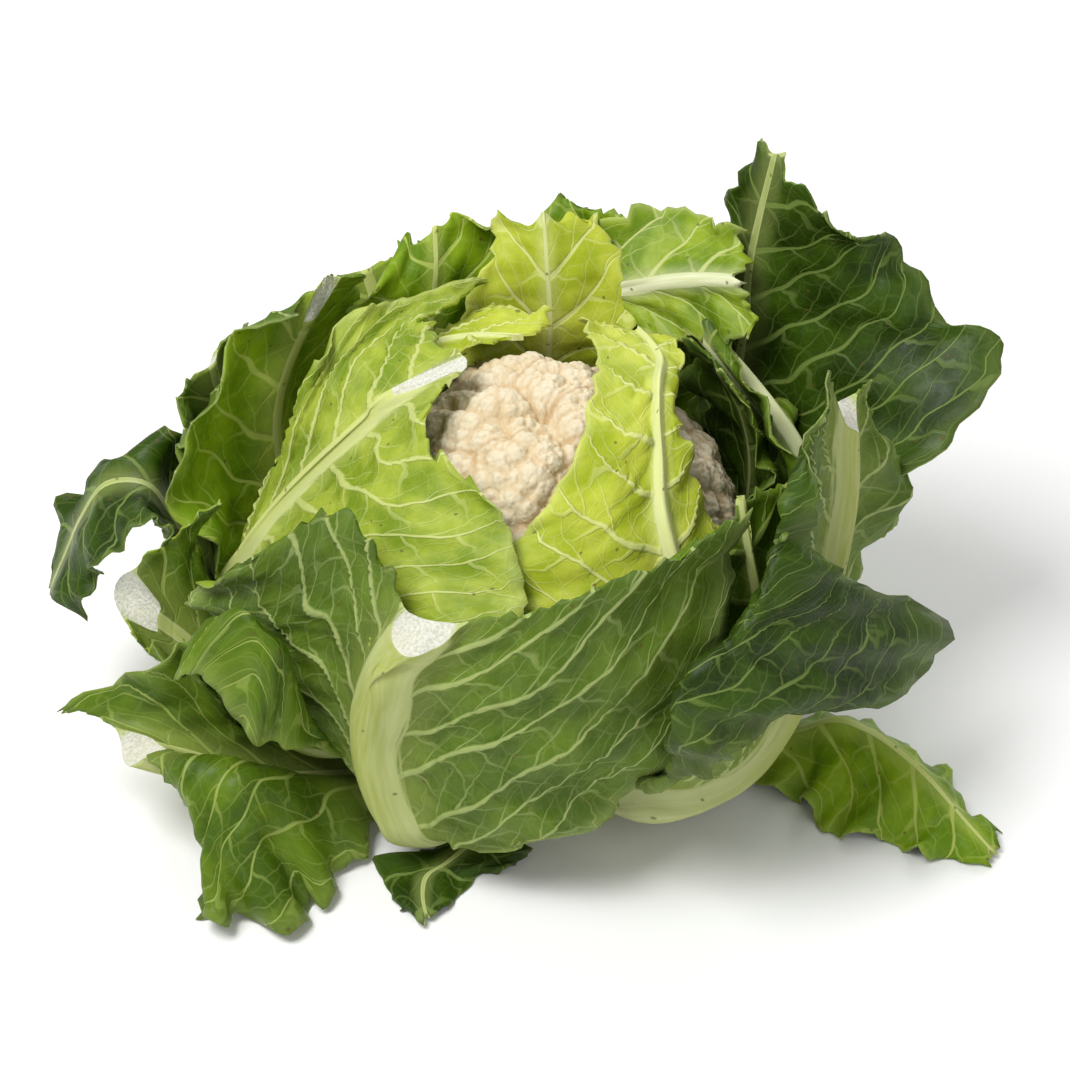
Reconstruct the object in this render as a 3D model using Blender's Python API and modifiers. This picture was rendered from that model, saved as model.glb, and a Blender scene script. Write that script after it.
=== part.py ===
# A trimmed head of cauliflower, resting on the cut face of its stalk.
# The head's axis is Z and the middle of the cut face is the origin. The camera side is -Y.
# Points of the leaves are written as (bearing, radius, height): degrees round the axis from
# the front towards the right, millimetres from the axis, millimetres above the cut face.
import math

import bmesh
import bpy
import numpy as np
from mathutils.bvhtree import BVHTree

MM = 0.001
GAP = 0.35                  # between pieces that touch, mm
STALK_RADIUS = 29.0
STALK_TOP = 45.6
STALK_BEVEL = 2.0
STALK_SIDES = 48
CURD_RADIUS = 70.0
CURD_CENTRE = (3.0, 2.0, 74.0)
CURD_BOTTOM = 46.0
CURD_SIDES = 56
CURD_RINGS = 29
CURD_TOP_CLOSER = 0.45      # how much the points draw together at the top
CLUSTER_SPACING = 31.0      # the big florets
CLUSTER_DEPTH = 4.5
KNOB_SPACING = 14.0         # the knobs that each floret is made of
KNOB_DEPTH = 3.0
BLADE = 1.3                 # thickness of a leaf's blade, mm
WING = 3.0                  # blade on each side of a petiole, mm
FLOOR_GAP = 0.3             # under the lowest leaves, mm
MERGE = 0.05                # edges left by a cut that are shorter than this are closed up, mm
RINGS = (10.5, 20.5, 30.5, 39.5)    # heights at which the leaves join the stalk
CURVE_STEPS = 8             # points of a smooth curve between two given ones
RIB_AT = (0, 0.35, 1)       # where along a leaf its rib's three widths and depths hold
RIB_INSIDE = 0.12           # share of a rib's depth that stands out on the inner side
EDGE_SHARE = 0.68           # the rib takes up at most this share of one side of a leaf
FREE_FROM = 0.3             # where along a leaf its margins begin to wave
FREE_OVER = 0.2             # the length over which the waves grow, as a share of the leaf
TOOTH_MIDDLE = 0.35         # teeth stand this share of their size inside the margin
PUSH_ROUNDS = 12            # how often a leaf is pushed off the ones inside it
PUSH_REACH = 14.0           # how far a leaf is looked for when another is laid over it, mm
PUSH_SPARE = 0.3            # added to the gap for the parts between a sheet's points, mm
PUSH_ENOUGH = 0.05          # pushes shorter than this aren't worth another round, mm
LOOSEN_ROUNDS = 40          # how often a sheet is smoothed where its solid crosses itself


def place(point):
    """Turns (bearing, radius, height) into x, y, z."""
    bearing = math.radians(point[0])
    return np.array((point[1] * math.sin(bearing), -point[1] * math.cos(bearing), point[2]))


def middle(a, b, belly):
    """The point half way round between two others, moved outwards by belly."""
    return ((a[0] + b[0]) / 2, (a[1] + b[1]) / 2 + belly, (a[2] + b[2]) / 2)


def flow(points, steps):
    """Catmull-Rom curve through the first axis of an array, with steps per span."""
    ends = np.concatenate([2 * points[:1] - points[1:2], points, 2 * points[-1:] - points[-2:-1]])
    out = []
    for i in range(len(points) - 1):
        p0, p1, p2, p3 = ends[i:i + 4]
        for k in range(steps):
            t = k / steps
            out.append(0.5 * (2 * p1 + (p2 - p0) * t + (2 * p0 - 5 * p1 + 4 * p2 - p3) * t ** 2
                              + (3 * p1 - p0 - 3 * p2 + p3) * t ** 3))
    out.append(points[-1])
    return np.array(out)


def lengths(line):
    """Length along a line of points, from its first."""
    return np.concatenate([[0.0], np.cumsum(np.linalg.norm(np.diff(line, axis=0), axis=1))])


def along(line, distances):
    """Points of a line at given distances from its start."""
    run = lengths(line)
    return np.stack([np.interp(distances, run, line[:, k]) for k in range(3)], -1)


def net_of(leaf):
    """A leaf's control net: its petiole from the stalk, then its rows from base to tip."""
    ring = RINGS[leaf["ring"]]
    half = leaf["rib"][0] / 2
    spine, last = leaf["spine"], leaf["columns"] - 1
    net = []
    start = (leaf["at"], STALK_RADIUS + GAP, ring)
    for (bearing, radius, height), wing in ((start, 0), (leaf["foot"], WING)):
        spread = math.degrees((half + wing) / radius)
        offsets = np.interp(range(last + 1), (0, spine, last), (-spread, 0, spread))
        net.append([place((bearing + o, radius, height)) for o in offsets])
    for row in leaf["rows"]:
        if len(row) == 3:
            first, rib, last = row
            row = (first, middle(first, rib, leaf["belly"]), rib, middle(rib, last, leaf["belly"]), last)
        net.append([place(point) for point in row])
    return np.array(net)


def side_places(breaks, half, shares, cells):
    """Distances from the rib of one side's columns: the rib's, then the blade's, cells to each span."""
    width = breaks[-1]
    edge = min(half, EDGE_SHARE * width)
    ends = [edge]
    if len(breaks) > 2:
        step = (width - edge) / len(breaks)
        ends += [max(b, edge + step * (k + 1)) for k, b in enumerate(breaks[:-1])]
    ends.append(width)
    spans = len(ends) - 1
    counts = [cells // spans + (k < cells % spans) for k in range(spans)]
    places = [edge * share for share in shares]
    for start, end, count in zip(ends, ends[1:], counts):
        places += [start + (end - start) * k / count for k in range(1, count + 1)]
    return places


def sheet_of(leaf, cells_along, cells_first, cells_last, rib_cells):
    """Points of a leaf's blade, evenly spaced along its rib, and how far each is from the rib."""
    dense = flow(net_of(leaf), CURVE_STEPS)
    spine = leaf["spine"]
    run = lengths(dense[:, spine])
    stations = np.linspace(0, run[-1], cells_along + 1)
    rows = np.stack([[along(dense[:, c], np.interp(s, run, lengths(dense[:, c])))
                      for c in range(dense.shape[1])] for s in stations])
    shares = (1.0,) if rib_cells == 2 else (0.55, 1.0)
    sheet, reach = [], []
    for i, row in enumerate(rows):
        half = np.interp(i / cells_along, RIB_AT, leaf["rib"]) / 2
        curve = flow(row, CURVE_STEPS)
        rib_at = spine * CURVE_STEPS
        first_side, last_side = curve[:rib_at + 1][::-1], curve[rib_at:]
        points, distances = [curve[rib_at:rib_at + 1]], [0.0]
        for line, cells, sign in ((first_side, cells_first, -1), (last_side, cells_last, 1)):
            places = side_places(lengths(line)[CURVE_STEPS::CURVE_STEPS], half, shares, cells)
            found = along(line, np.array(places))
            points = [found[::-1]] + points if sign < 0 else points + [found]
            distances = [-d for d in places[::-1]] + distances if sign < 0 else distances + places
        sheet.append(np.concatenate(points))
        reach.append(distances)
    return np.array(sheet), np.array(reach)


def outward(sheet):
    """Unit normals of a sheet, on the side that faces away from the curd."""
    du = np.gradient(sheet, axis=0)
    dv = np.gradient(sheet, axis=1)
    normal = np.cross(dv, du)
    return normal / np.linalg.norm(normal, axis=-1, keepdims=True)


def ruffle(leaf, sheet, reach):
    """Waves and teeth along a leaf's two margins and its tip."""
    rows, columns = reach.shape
    normal = outward(sheet)
    u = np.linspace(0, 1, rows)[:, None]
    v = np.abs(reach) / np.abs(reach).max(axis=1, keepdims=True)
    side = np.sign(reach)
    free = np.clip((u - FREE_FROM) / FREE_OVER, 0, 1)
    wave = np.sin(2 * math.pi * (leaf["waves"] * u + 0.31 * side) + leaf["seed"])
    sheet = sheet + normal * (leaf["ruffle"] * wave * free * v ** 2)[..., None]
    draw = np.random.default_rng(leaf["seed"])
    for column, inner in ((0, 1), (columns - 1, columns - 2)):
        tooth = leaf["teeth"] * (draw.random(rows) - TOOTH_MIDDLE) * free[:, 0]
        across = sheet[:, column] - sheet[:, inner]
        across /= np.linalg.norm(across, axis=1, keepdims=True)
        sheet[:, column] += across * tooth[:, None]
    if not leaf["cut"]:
        tooth = leaf["teeth"] * (draw.random(columns) - TOOTH_MIDDLE)
        ahead = sheet[-1] - sheet[-2]
        sheet[-1] += ahead * (tooth / np.linalg.norm(ahead, axis=1))[:, None]
    return sheet


def thickness(leaf, reach):
    """How far a leaf's two faces stand from its sheet, on the inner and the outer side."""
    u = np.linspace(0, 1, len(reach))[:, None]
    half = np.interp(u, RIB_AT, leaf["rib"]) / 2
    deep = np.interp(u, RIB_AT, leaf["deep"])
    rib = deep * np.sqrt(np.clip(1 - (reach / half) ** 2, 0, 1))
    return BLADE / 2 + RIB_INSIDE * rib, BLADE / 2 + (1 - RIB_INSIDE) * rib


def corners(i, j, columns):
    """The four corner points of one cell of a sheet, by their place in the list of points."""
    a = i * columns + j
    return a, a + 1, a + columns + 1, a + columns


def mesh_arrays(sheet, inner, outer):
    """Vertices and faces of the closed solid between a sheet's two faces."""
    rows, columns = inner.shape
    normal = outward(sheet)
    normal[0] = (0, 0, -1)
    faces_in = sheet - normal * inner[..., None]
    faces_out = sheet + normal * outer[..., None]
    points = np.concatenate([faces_in.reshape(-1, 3), faces_out.reshape(-1, 3)])
    half = rows * columns
    faces = []
    for i in range(rows - 1):
        for j in range(columns - 1):
            a, b, c, d = corners(i, j, columns)
            faces += [(a, c, b), (a, d, c)]
            faces += [(half + a, half + b, half + c), (half + a, half + c, half + d)]
    rim = list(range(columns))
    rim += [i * columns + columns - 1 for i in range(1, rows)]
    rim += [(rows - 1) * columns + j for j in range(columns - 2, -1, -1)]
    rim += [i * columns for i in range(rows - 2, 0, -1)]
    for a, b in zip(rim, rim[1:] + rim[:1]):
        faces += [(half + b, half + a, a), (half + b, a, b)]
    return points, faces


def tree_of(points, faces):
    return BVHTree.FromPolygons([tuple(p) for p in points], faces, all_triangles=True)


def lay_over(sheet, inner, placed):
    """Pushes a sheet outwards where it comes too close to the leaves laid before it."""
    rows, columns = inner.shape
    for _ in range(PUSH_ROUNDS):
        push = np.zeros_like(sheet)
        for other in placed:
            for i in range(2, rows):
                for j in range(columns):
                    point = tuple(sheet[i, j])
                    hit, normal, face, distance = other["tree"].find_nearest(point, PUSH_REACH)
                    if hit is None:
                        continue
                    normal = np.array(normal)
                    offset = sheet[i, j] - np.array(hit)
                    height = float(offset @ normal)
                    if distance > 0.5 and abs(height) < 0.6 * distance:
                        continue
                    short = other["outer"][face // 2] + inner[i, j] + GAP + PUSH_SPARE - height
                    if short > 0 and short > np.linalg.norm(push[i, j]):
                        push[i, j] = normal * short
        if np.abs(push).max() < PUSH_ENOUGH:
            break
        soft = push.copy()
        for _ in range(2):
            wide = np.pad(soft, ((1, 1), (1, 1), (0, 0)), mode="edge")
            soft = (wide[:-2, 1:-1] + wide[2:, 1:-1] + wide[1:-1, :-2] + wide[1:-1, 2:] + 2 * soft) / 6
        soft[0] = 0
        soft[1] *= 0.3
        weight = np.linalg.norm(push, axis=-1, keepdims=True) > 0
        sheet = sheet + np.where(weight, 0.6 * push + 0.4 * soft, soft)
    return sheet


def loosen(sheet, inner, outer):
    """Smooths a sheet round the places where its solid would cross itself."""
    rows, columns = inner.shape
    for _ in range(LOOSEN_ROUNDS):
        points, faces = mesh_arrays(sheet, inner, outer)
        tree = tree_of(points, faces)
        bad = [a for a, b in tree.overlap(tree) if not set(faces[a]) & set(faces[b])]
        if not bad:
            break
        near = np.zeros(rows * columns)
        near[[v % (rows * columns) for a in bad for v in faces[a]]] = 1
        wide = np.pad(near.reshape(rows, columns), 1)
        near = np.max([wide[i:i + rows, j:j + columns] for i in range(3) for j in range(3)], axis=0)
        near[:3] = 0
        wide = np.pad(sheet, ((1, 1), (1, 1), (0, 0)), mode="reflect", reflect_type="odd")
        soft = (wide[:-2, 1:-1] + wide[2:, 1:-1] + wide[1:-1, :-2] + wide[1:-1, 2:]) / 4
        sheet = sheet + 0.5 * near[..., None] * (soft - sheet)
    return sheet


def room_of(sheet):
    """A sheet with its margins and tip moved outwards, so that what it cuts stays clear of them."""
    wide = sheet.copy()
    for edge, inner in ((np.s_[:, 0], np.s_[:, 1]), (np.s_[:, -1], np.s_[:, -2]), (np.s_[-1], np.s_[-2])):
        step = sheet[edge] - sheet[inner]
        wide[edge] += 1.5 * GAP * step / np.linalg.norm(step, axis=-1, keepdims=True)
    return wide


def record_sheet(sheet, outer):
    """A laid leaf as a search tree, with the outer thickness of each of its cells."""
    rows, columns = outer.shape
    faces, depth = [], []
    for i in range(rows - 1):
        for j in range(columns - 1):
            a, b, c, d = corners(i, j, columns)
            faces += [(a, b, c), (a, c, d)]
            depth.append(outer[i:i + 2, j:j + 2].max())
    return {"tree": tree_of(sheet.reshape(-1, 3), faces), "outer": depth}


# From the innermost leaf to the outermost. ring: which of RINGS it leaves the stalk at. at, foot:
# where its stem leaves the stalk and where it ends. rib, deep: the rib's widths and depths at
# RIB_AT. belly: how far the blade bulges between rib and margin. cells: divisions along the leaf
# and on each side of the rib. spine: which point of a row is on the rib. rows: from base to tip.
LEAVES = (
    dict(name="leaf_inner_right", ring=3, at=36, foot=(37, 58, 44), rib=(11, 9, 3), deep=(7, 5, 2),
         belly=2, waves=4, ruffle=2.0, teeth=4, seed=3, cells=(14, 4, 3), colour="pale", cut=False,
         rows=(((8, 79, 78), (36, 79, 72), (62, 79, 74)),
               ((-2, 77, 100), (38, 78, 100), (64, 78, 100)),
               ((-10, 63, 120), (42, 60, 123), (64, 63, 118)),
               ((4, 50, 135), (58, 46, 136), (68, 52, 134)),
               ((40, 26, 147), (88, 39, 143), (84, 47, 139)),
               ((138, 30, 146), (120, 48, 140), (112, 52, 138)),
               ((162, 50, 138), (146, 63, 133), (136, 66, 132)))),
    dict(name="leaf_inner_back_left", ring=3, at=-134, foot=(-134, 58, 43), rib=(11, 8, 3),
         deep=(7, 4, 1.5),
         belly=2, waves=4, ruffle=2.0, teeth=5, seed=5, cells=(12, 3, 3), colour="pale", cut=False,
         rows=(((-160, 79, 68), (-134, 78, 64), (-110, 79, 66)),
               ((-162, 81, 95), (-131, 80, 94), (-108, 80, 95)),
               ((-164, 74, 120), (-132, 72, 120), (-110, 70, 119)),
               ((-170, 66, 131), (-150, 56, 132), (-124, 50, 134)),
               ((-186, 54, 136), (-172, 44, 136), (-150, 32, 142)))),
    dict(name="leaf_back", ring=3, at=177, foot=(177, 58, 44), rib=(11, 8, 3), deep=(7, 4, 1.5),
         belly=2, waves=4, ruffle=3.0, teeth=6, seed=7, cells=(12, 3, 3), colour="pale", cut=False,
         rows=(((158, 79, 68), (177, 78, 64), (196, 79, 66)),
               ((150, 82, 92), (177, 82, 92), (202, 83, 92)),
               ((152, 80, 120), (176, 77, 120), (199, 79, 122)),
               ((160, 85, 143), (177, 81, 141), (192, 85, 147)),
               ((166, 94, 152), (178, 88, 155), (187, 91, 156)))),
    dict(name="leaf_dark_inner", ring=3, at=112, foot=(112, 58, 44), rib=(10, 7, 3), deep=(7, 4, 1.5),
         belly=2, waves=5, ruffle=3.0, teeth=6, seed=9, cells=(10, 3, 3), colour="mid", cut=False,
         rows=(((94, 79, 68), (112, 78, 64), (130, 79, 68)),
               ((90, 81, 94), (112, 81, 92), (134, 81, 94)),
               ((93, 76, 117), (112, 76, 116), (134, 76, 118)),
               ((100, 68, 131), (113, 68, 132), (128, 68, 134)))),
    dict(name="leaf_inner_left", ring=2, at=-78, foot=(-80, 58, 28), rib=(12, 10, 11), deep=(8, 6, 5),
         belly=3, waves=5, ruffle=2.0, teeth=5, seed=11, cells=(16, 4, 4), colour="inner", cut=True,
         rows=(((-95, 86, 44), (-85, 86, 38), (-73, 86, 40)),
               ((-102, 94, 78), (-88, 104, 62), (-68, 100, 62)),
               ((-108, 86, 110), (-93, 94, 79), (-54, 88, 80)),
               ((-114, 79, 136), (-96, 81, 96), (-33, 83, 96)),
               ((-130, 75, 144), (-97, 62, 118), (-11, 82, 106)),
               ((-152, 76, 140), (-100, 44, 136), (-1, 73, 119)),
               ((-168, 82, 134), (-108, 24, 151), (-14, 54, 139)))),
    dict(name="leaf_front_inner", ring=2, at=58, foot=(58, 58, 29), rib=(11, 9, 3), deep=(8, 5, 2),
         belly=2, waves=5, ruffle=2.0, teeth=5, seed=13, cells=(12, 4, 3), colour="mid", cut=False,
         rows=(((38, 86, 52), (58, 86, 46), (78, 86, 52)),
               ((26, 88, 86), (56, 88, 82), (82, 88, 86)),
               ((16, 82, 110), (54, 84, 112), (84, 88, 112)),
               ((32, 76, 126), (56, 78, 130), (78, 86, 128)))),
    dict(name="leaf_back_folded", ring=2, at=168, foot=(168, 58, 29), rib=(12, 9, 5), deep=(8, 5, 4),
         belly=2, waves=5, ruffle=2.5, teeth=6, seed=15, cells=(14, 3, 4), colour="inner", cut=False,
         rows=(((150, 86, 56), (168, 86, 48), (184, 86, 54)),
               ((150, 90, 92), (170, 90, 90), (186, 90, 92)),
               ((154, 84, 116), (171, 86, 122), (182, 95, 132)),
               ((146, 82, 122), (158, 84, 134), (167, 100, 150)),
               ((134, 86, 128), (144, 88, 142), (152, 106, 158)),
               ((124, 90, 134), (131, 93, 148), (136, 104, 158)))),
    dict(name="leaf_right_inner", ring=2, at=93, foot=(93, 58, 29), rib=(12, 11, 9), deep=(8, 7, 6),
         belly=1, waves=5, ruffle=2.5, teeth=5, seed=17, cells=(12, 3, 3), colour="mid", cut=True,
         rows=(((80, 86, 52), (95, 86, 46), (110, 86, 52)),
               ((82, 88, 84), (97, 92, 78), (114, 92, 84)),
               ((88, 80, 112), (105, 90, 103), (120, 99, 100)),
               ((108, 74, 128), (121, 84, 115), (131, 97, 108)),
               ((135, 78, 137), (143, 86, 126), (148, 95, 117)))),
    dict(name="leaf_back_left", ring=2, at=206, foot=(206, 58, 29), rib=(12, 9, 4), deep=(8, 5, 2),
         belly=2, waves=6, ruffle=4.0, teeth=8, seed=19, cells=(12, 3, 3), colour="mid", cut=False,
         rows=(((188, 86, 54), (206, 86, 48), (226, 86, 54)),
               ((183, 94, 88), (205, 93, 86), (228, 92, 88)),
               ((182, 97, 118), (203, 96, 116), (224, 93, 114)),
               ((184, 101, 136), (201, 99, 136), (216, 98, 130)),
               ((190, 106, 145), (200, 105, 146), (208, 104, 141)))),
    dict(name="leaf_upper_left", ring=2, at=-112, foot=(-112, 58, 29), rib=(14, 12, 13), deep=(8, 6, 5),
         belly=4, waves=5, ruffle=3.0, teeth=4, seed=21, cells=(13, 3, 4), colour="dark", cut=True,
         rows=(((-130, 86, 56), (-112, 86, 48), (-94, 90, 50)),
               ((-136, 96, 86), (-113, 97, 82), (-88, 110, 76)),
               ((-138, 100, 110), (-116, 100, 108), (-90, 118, 108)),
               ((-140, 98, 130), (-123, 97, 130), (-103, 111, 132)),
               ((-141, 92, 146), (-130, 90, 148), (-119, 95, 146)))),
    dict(name="leaf_back_right", ring=2, at=130, foot=(130, 58, 29), rib=(13, 11, 7), deep=(8, 6, 4),
         belly=3, waves=6, ruffle=2.5, teeth=5, seed=25, cells=(17, 5, 2), spine=4,
         colour="dark", cut=False,
         rows=(((111, 84, 45), (115, 82, 42), (120, 80, 39), (125, 78, 36),
                (131, 76, 34), (136, 75, 37), (139, 74, 40)),
               ((94, 107, 80), (99, 104, 74), (108, 99, 68), (118, 95, 62),
                (132, 90, 58), (138, 90, 61), (142, 90, 64)),
               ((93, 125, 102), (98, 119, 99), (107, 112, 96), (119, 104, 90),
                (133, 98, 86), (139, 98, 88), (144, 98, 90)),
               ((98, 146, 122), (102, 134, 119), (109, 121, 116), (121, 108, 113),
                (134, 102, 110), (139, 102, 111), (144, 101, 113)),
               ((103, 165, 141), (107, 145, 136), (114, 124, 132), (124, 110, 129),
                (134, 104, 126), (139, 104, 127), (143, 103, 129)),
               ((107, 140, 143), (111, 130, 141), (117, 120, 141), (126, 110, 141),
                (135, 106, 141), (139, 106, 142), (143, 105, 143)),
               ((118, 144, 160), (116, 129, 155), (120, 118, 153), (128, 110, 153),
                (135, 108, 155), (139, 108, 156), (142, 107, 157)),
               ((117, 124, 167), (119, 117, 173), (123, 112, 179), (128, 110, 183),
                (133, 111, 187), (136, 111, 188), (139, 111, 189)))),
    dict(name="leaf_front", ring=1, at=-24, foot=(-23, 56, 17), rib=(24, 24, 21), deep=(8.5, 11.5, 10),
         belly=2, waves=5, ruffle=2.5, teeth=5, seed=29, cells=(16, 6, 5), spine=4, rib_cells=4,
         colour="outer", cut=True,
         rows=(((-44, 84, 30), (-42, 83, 28), (-39, 82, 26), (-35, 82, 21),
                (-30, 80, 18), (-23, 83, 17), (-14, 86, 20)),
               ((-54, 97, 58), (-51, 93, 56), (-47, 88, 52), (-41, 87, 45),
                (-35, 86, 38), (-12, 92, 38), (9, 92, 36)),
               ((-72, 110, 72), (-61, 101, 74), (-48, 89, 80), (-42, 88, 72),
                (-36, 87, 63), (-4, 94, 66), (28, 95, 60)),
               ((-75, 115, 84), (-61, 99, 93), (-45, 86, 108), (-37, 86, 98),
                (-30, 87, 90), (4, 94, 98), (37, 95, 100)),
               ((-70, 107, 102), (-60, 94, 119), (-49, 82, 138), (-35, 82, 127),
                (-22, 87, 113), (13, 90, 133), (47, 90, 143)))),
    dict(name="leaf_right", ring=1, at=26, foot=(27, 56, 18), rib=(23, 23, 20), deep=(8.5, 11, 9),
         belly=2, waves=5, ruffle=2.5, teeth=6, seed=27, cells=(18, 7, 3), spine=4, rib_cells=4,
         colour="outer", cut=True,
         rows=(((21, 81, 45), (23, 80, 43), (25, 79, 40), (28, 77, 35),
                (34, 78, 25), (41, 78, 20), (47, 78, 17)),
               ((26, 124, 66), (21, 117, 69), (21, 106, 66), (36, 103, 55),
                (54, 84, 27), (61, 84, 17), (67, 84, 12)),
               ((41, 121, 88), (30, 119, 97), (21, 107, 96), (41, 103, 81),
                (66, 90, 42), (75, 92, 32), (82, 94, 28)),
               ((64, 134, 66), (44, 126, 92), (23, 108, 117), (43, 103, 101),
                (68.5, 94, 60), (77, 99, 54), (85, 103, 50)),
               ((75, 143, 82), (50, 129, 106), (25, 108, 134), (46, 103, 114),
                (71, 96, 79), (80, 102, 74), (88, 107, 72)),
               ((50, 122, 120), (38, 118, 133), (29, 107, 143), (49, 102, 124),
                (75, 98, 98), (84, 107, 97), (91, 114, 98)),
               ((36, 105, 153), (39, 104, 151), (44, 102, 149), (56, 100, 141),
                (79, 99, 120), (87, 108, 118), (93, 116, 116)),
               ((80, 97, 165), (79, 97, 161), (79, 96, 157), (80, 96, 152),
                (82, 97, 148), (87, 104, 147), (91, 110, 146)))),
    dict(name="leaf_ribbon_left", ring=2, at=-49, foot=(-50, 58, 28), rib=(9, 8, 4), deep=(7, 5, 2),
         belly=2, waves=4, ruffle=2.0, teeth=4, seed=23, cells=(12, 2, 6), colour="mid", cut=False,
         rows=(((-66, 87, 42), (-62, 86, 36), (-57, 86, 30), (-54, 90, 42), (-51, 98, 60), (-50, 108, 56)),
               ((-70, 100, 48), (-66, 99, 42), (-61, 98, 38), (-54, 102, 66),
                (-48, 105, 104), (-49, 121, 62)),
               ((-73, 112, 54), (-70, 111, 48), (-66, 109, 44), (-60, 111, 70),
                (-57, 113, 104), (-56, 127, 84)),
               ((-73, 122, 56), (-72, 121, 54), (-70, 119, 53), (-67, 122, 66),
                (-65, 123, 82), (-63, 132, 74)))),
    dict(name="leaf_left", ring=1, at=-74, foot=(-75, 58, 17), rib=(16, 17, 18), deep=(8.5, 8, 8),
         belly=1, waves=3, ruffle=1.5, teeth=3, seed=31, cells=(12, 3, 3), colour="outer", cut=True,
         rows=(((-89, 86, 48), (-83, 84, 34), (-77, 87, 25), (-71, 90, 25), (-67, 92, 30)),
               ((-87, 97, 78), (-85, 102, 56), (-79, 107, 39), (-74, 109, 36), (-70, 111, 40)),
               ((-85, 101, 100), (-85, 113, 78), (-82, 124, 56), (-78, 124, 49), (-75, 124, 50)),
               ((-84, 107, 108), (-85, 124, 92), (-83, 141, 74), (-80, 138, 62), (-78, 133, 55)))),
    dict(name="leaf_back_outer", ring=1, at=160, foot=(160, 58, 18), rib=(18, 15, 11), deep=(8.5, 8, 6),
         belly=3, waves=5, ruffle=3.5, teeth=6, seed=33, cells=(13, 3, 3), colour="outer", cut=True,
         rows=(((144, 94, 46), (160, 93, 34), (178, 94, 46)),
               ((138, 106, 86), (161, 106, 78), (184, 106, 86)),
               ((140, 112, 122), (161, 111, 116), (183, 110, 124)),
               ((148, 120, 146), (161, 116, 142), (176, 117, 147)))),
    dict(name="leaf_back_left_outer", ring=1, at=206, foot=(206, 58, 18), rib=(18, 16, 12),
         deep=(8.5, 8, 7),
         belly=3, waves=5, ruffle=3.5, teeth=6, seed=35, cells=(13, 3, 3), colour="outer", cut=True,
         rows=(((190, 94, 46), (206, 93, 34), (224, 94, 46)),
               ((186, 108, 82), (207, 108, 76), (230, 107, 82)),
               ((190, 116, 112), (209, 116, 106), (230, 113, 112)),
               ((196, 124, 128), (210, 124, 124), (224, 118, 126)))),
    dict(name="leaf_left_outer", ring=1, at=248, foot=(248, 58, 18), rib=(18, 16, 12), deep=(8.5, 8, 7),
         belly=3, waves=5, ruffle=3.0, teeth=6, seed=37, cells=(13, 3, 3), colour="outer", cut=True,
         rows=(((236, 94, 46), (248, 93, 34), (260, 94, 42)),
               ((235, 108, 84), (249, 108, 76), (263, 109, 80)),
               ((236, 114, 116), (250, 115, 110), (263, 120, 108)),
               ((241, 113, 132), (251, 117, 130), (261, 119, 126)))),
    dict(name="leaf_left_back", ring=0, at=-92, foot=(-93, 58, 9), rib=(15, 13, 5), deep=(8, 6, 2),
         belly=2, waves=4, ruffle=4.0, teeth=5, seed=39, cells=(14, 3, 3), colour="outer", cut=False,
         rows=(((-106, 92, 34), (-94, 94, 20), (-84, 96, 30)),
               ((-112, 118, 70), (-97, 116, 56), (-84, 120, 84)),
               ((-106, 132, 100), (-96, 134, 96), (-86, 130, 104)),
               ((-102, 150, 100), (-94, 150, 94), (-84, 142, 90)),
               ((-98, 168, 62), (-92, 168, 58), (-86, 160, 60)))),
    dict(name="leaf_back_right_outer", ring=0, at=128, foot=(128, 60, 9), rib=(18, 16, 12),
         deep=(8, 8, 7),
         belly=3, waves=4, ruffle=3.0, teeth=5, seed=41, cells=(13, 3, 3), colour="outer", cut=True,
         rows=(((112, 100, 32), (128, 100, 22), (144, 100, 32)),
               ((106, 120, 66), (127, 118, 58), (148, 116, 68)),
               ((108, 130, 96), (126, 126, 92), (146, 122, 100)),
               ((116, 134, 116), (126, 130, 114), (138, 127, 118)))),
    dict(name="leaf_low_left", ring=0, at=-52, foot=(-53, 58, 9), rib=(15, 15, 16), deep=(8, 8, 9),
         belly=2, waves=5, ruffle=3.0, teeth=6, seed=43, cells=(13, 3, 5), colour="outer", cut=True,
         rows=(((-70, 96, 34), (-66, 93, 24), (-58, 90, 17), (-51, 96, 28), (-45, 102, 18), (-40, 104, 4)),
               ((-67, 116, 66), (-65, 113, 44), (-60, 110, 26), (-51, 116, 46),
                (-45, 124, 24), (-39, 122, 4)),
               ((-66, 130, 74), (-68, 131, 52), (-63, 128, 36), (-56, 132, 49),
                (-48, 140, 24), (-43, 141, 4)),
               ((-77, 167, 38), (-73, 155, 44), (-66, 146, 44), (-60, 143, 42),
                (-53, 136, 24), (-49, 152, 5)))),
    dict(name="leaf_low_front", ring=0, at=-13, foot=(-15, 56, 5.5), rib=(9, 7, 3), deep=(6, 2.5, 1.5),
         belly=0, waves=4, ruffle=0.6, teeth=4, seed=45, cells=(9, 2, 3), colour="dark", cut=False,
         rows=(((-27, 76, 2.5), (-20, 76, 3.5), (-2, 70, 3)),
               ((-32, 92, 2.5), (-24, 91, 3.5), (-14, 80, 3)),
               ((-25, 105, 2), (-20, 105, 3), (-17, 99, 2.5)))),
    dict(name="leaf_low_right", ring=0, at=76, foot=(76, 60, 7), rib=(12, 9, 3), deep=(8, 5, 1),
         belly=2, waves=5, ruffle=2.5, teeth=5, seed=47, cells=(11, 3, 3), colour="mid", cut=False,
         rows=(((66, 88, 4), (76, 88, 12), (86, 88, 5)),
               ((62, 108, 3), (76, 110, 24), (88, 110, 5)),
               ((61, 126, 3), (71, 136, 21), (80, 136, 5)),
               ((62, 148, 3), (68, 154, 11), (74, 152, 4)),
               ((63, 162, 3), (66, 168, 4), (70, 165, 3)))),
)

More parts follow.
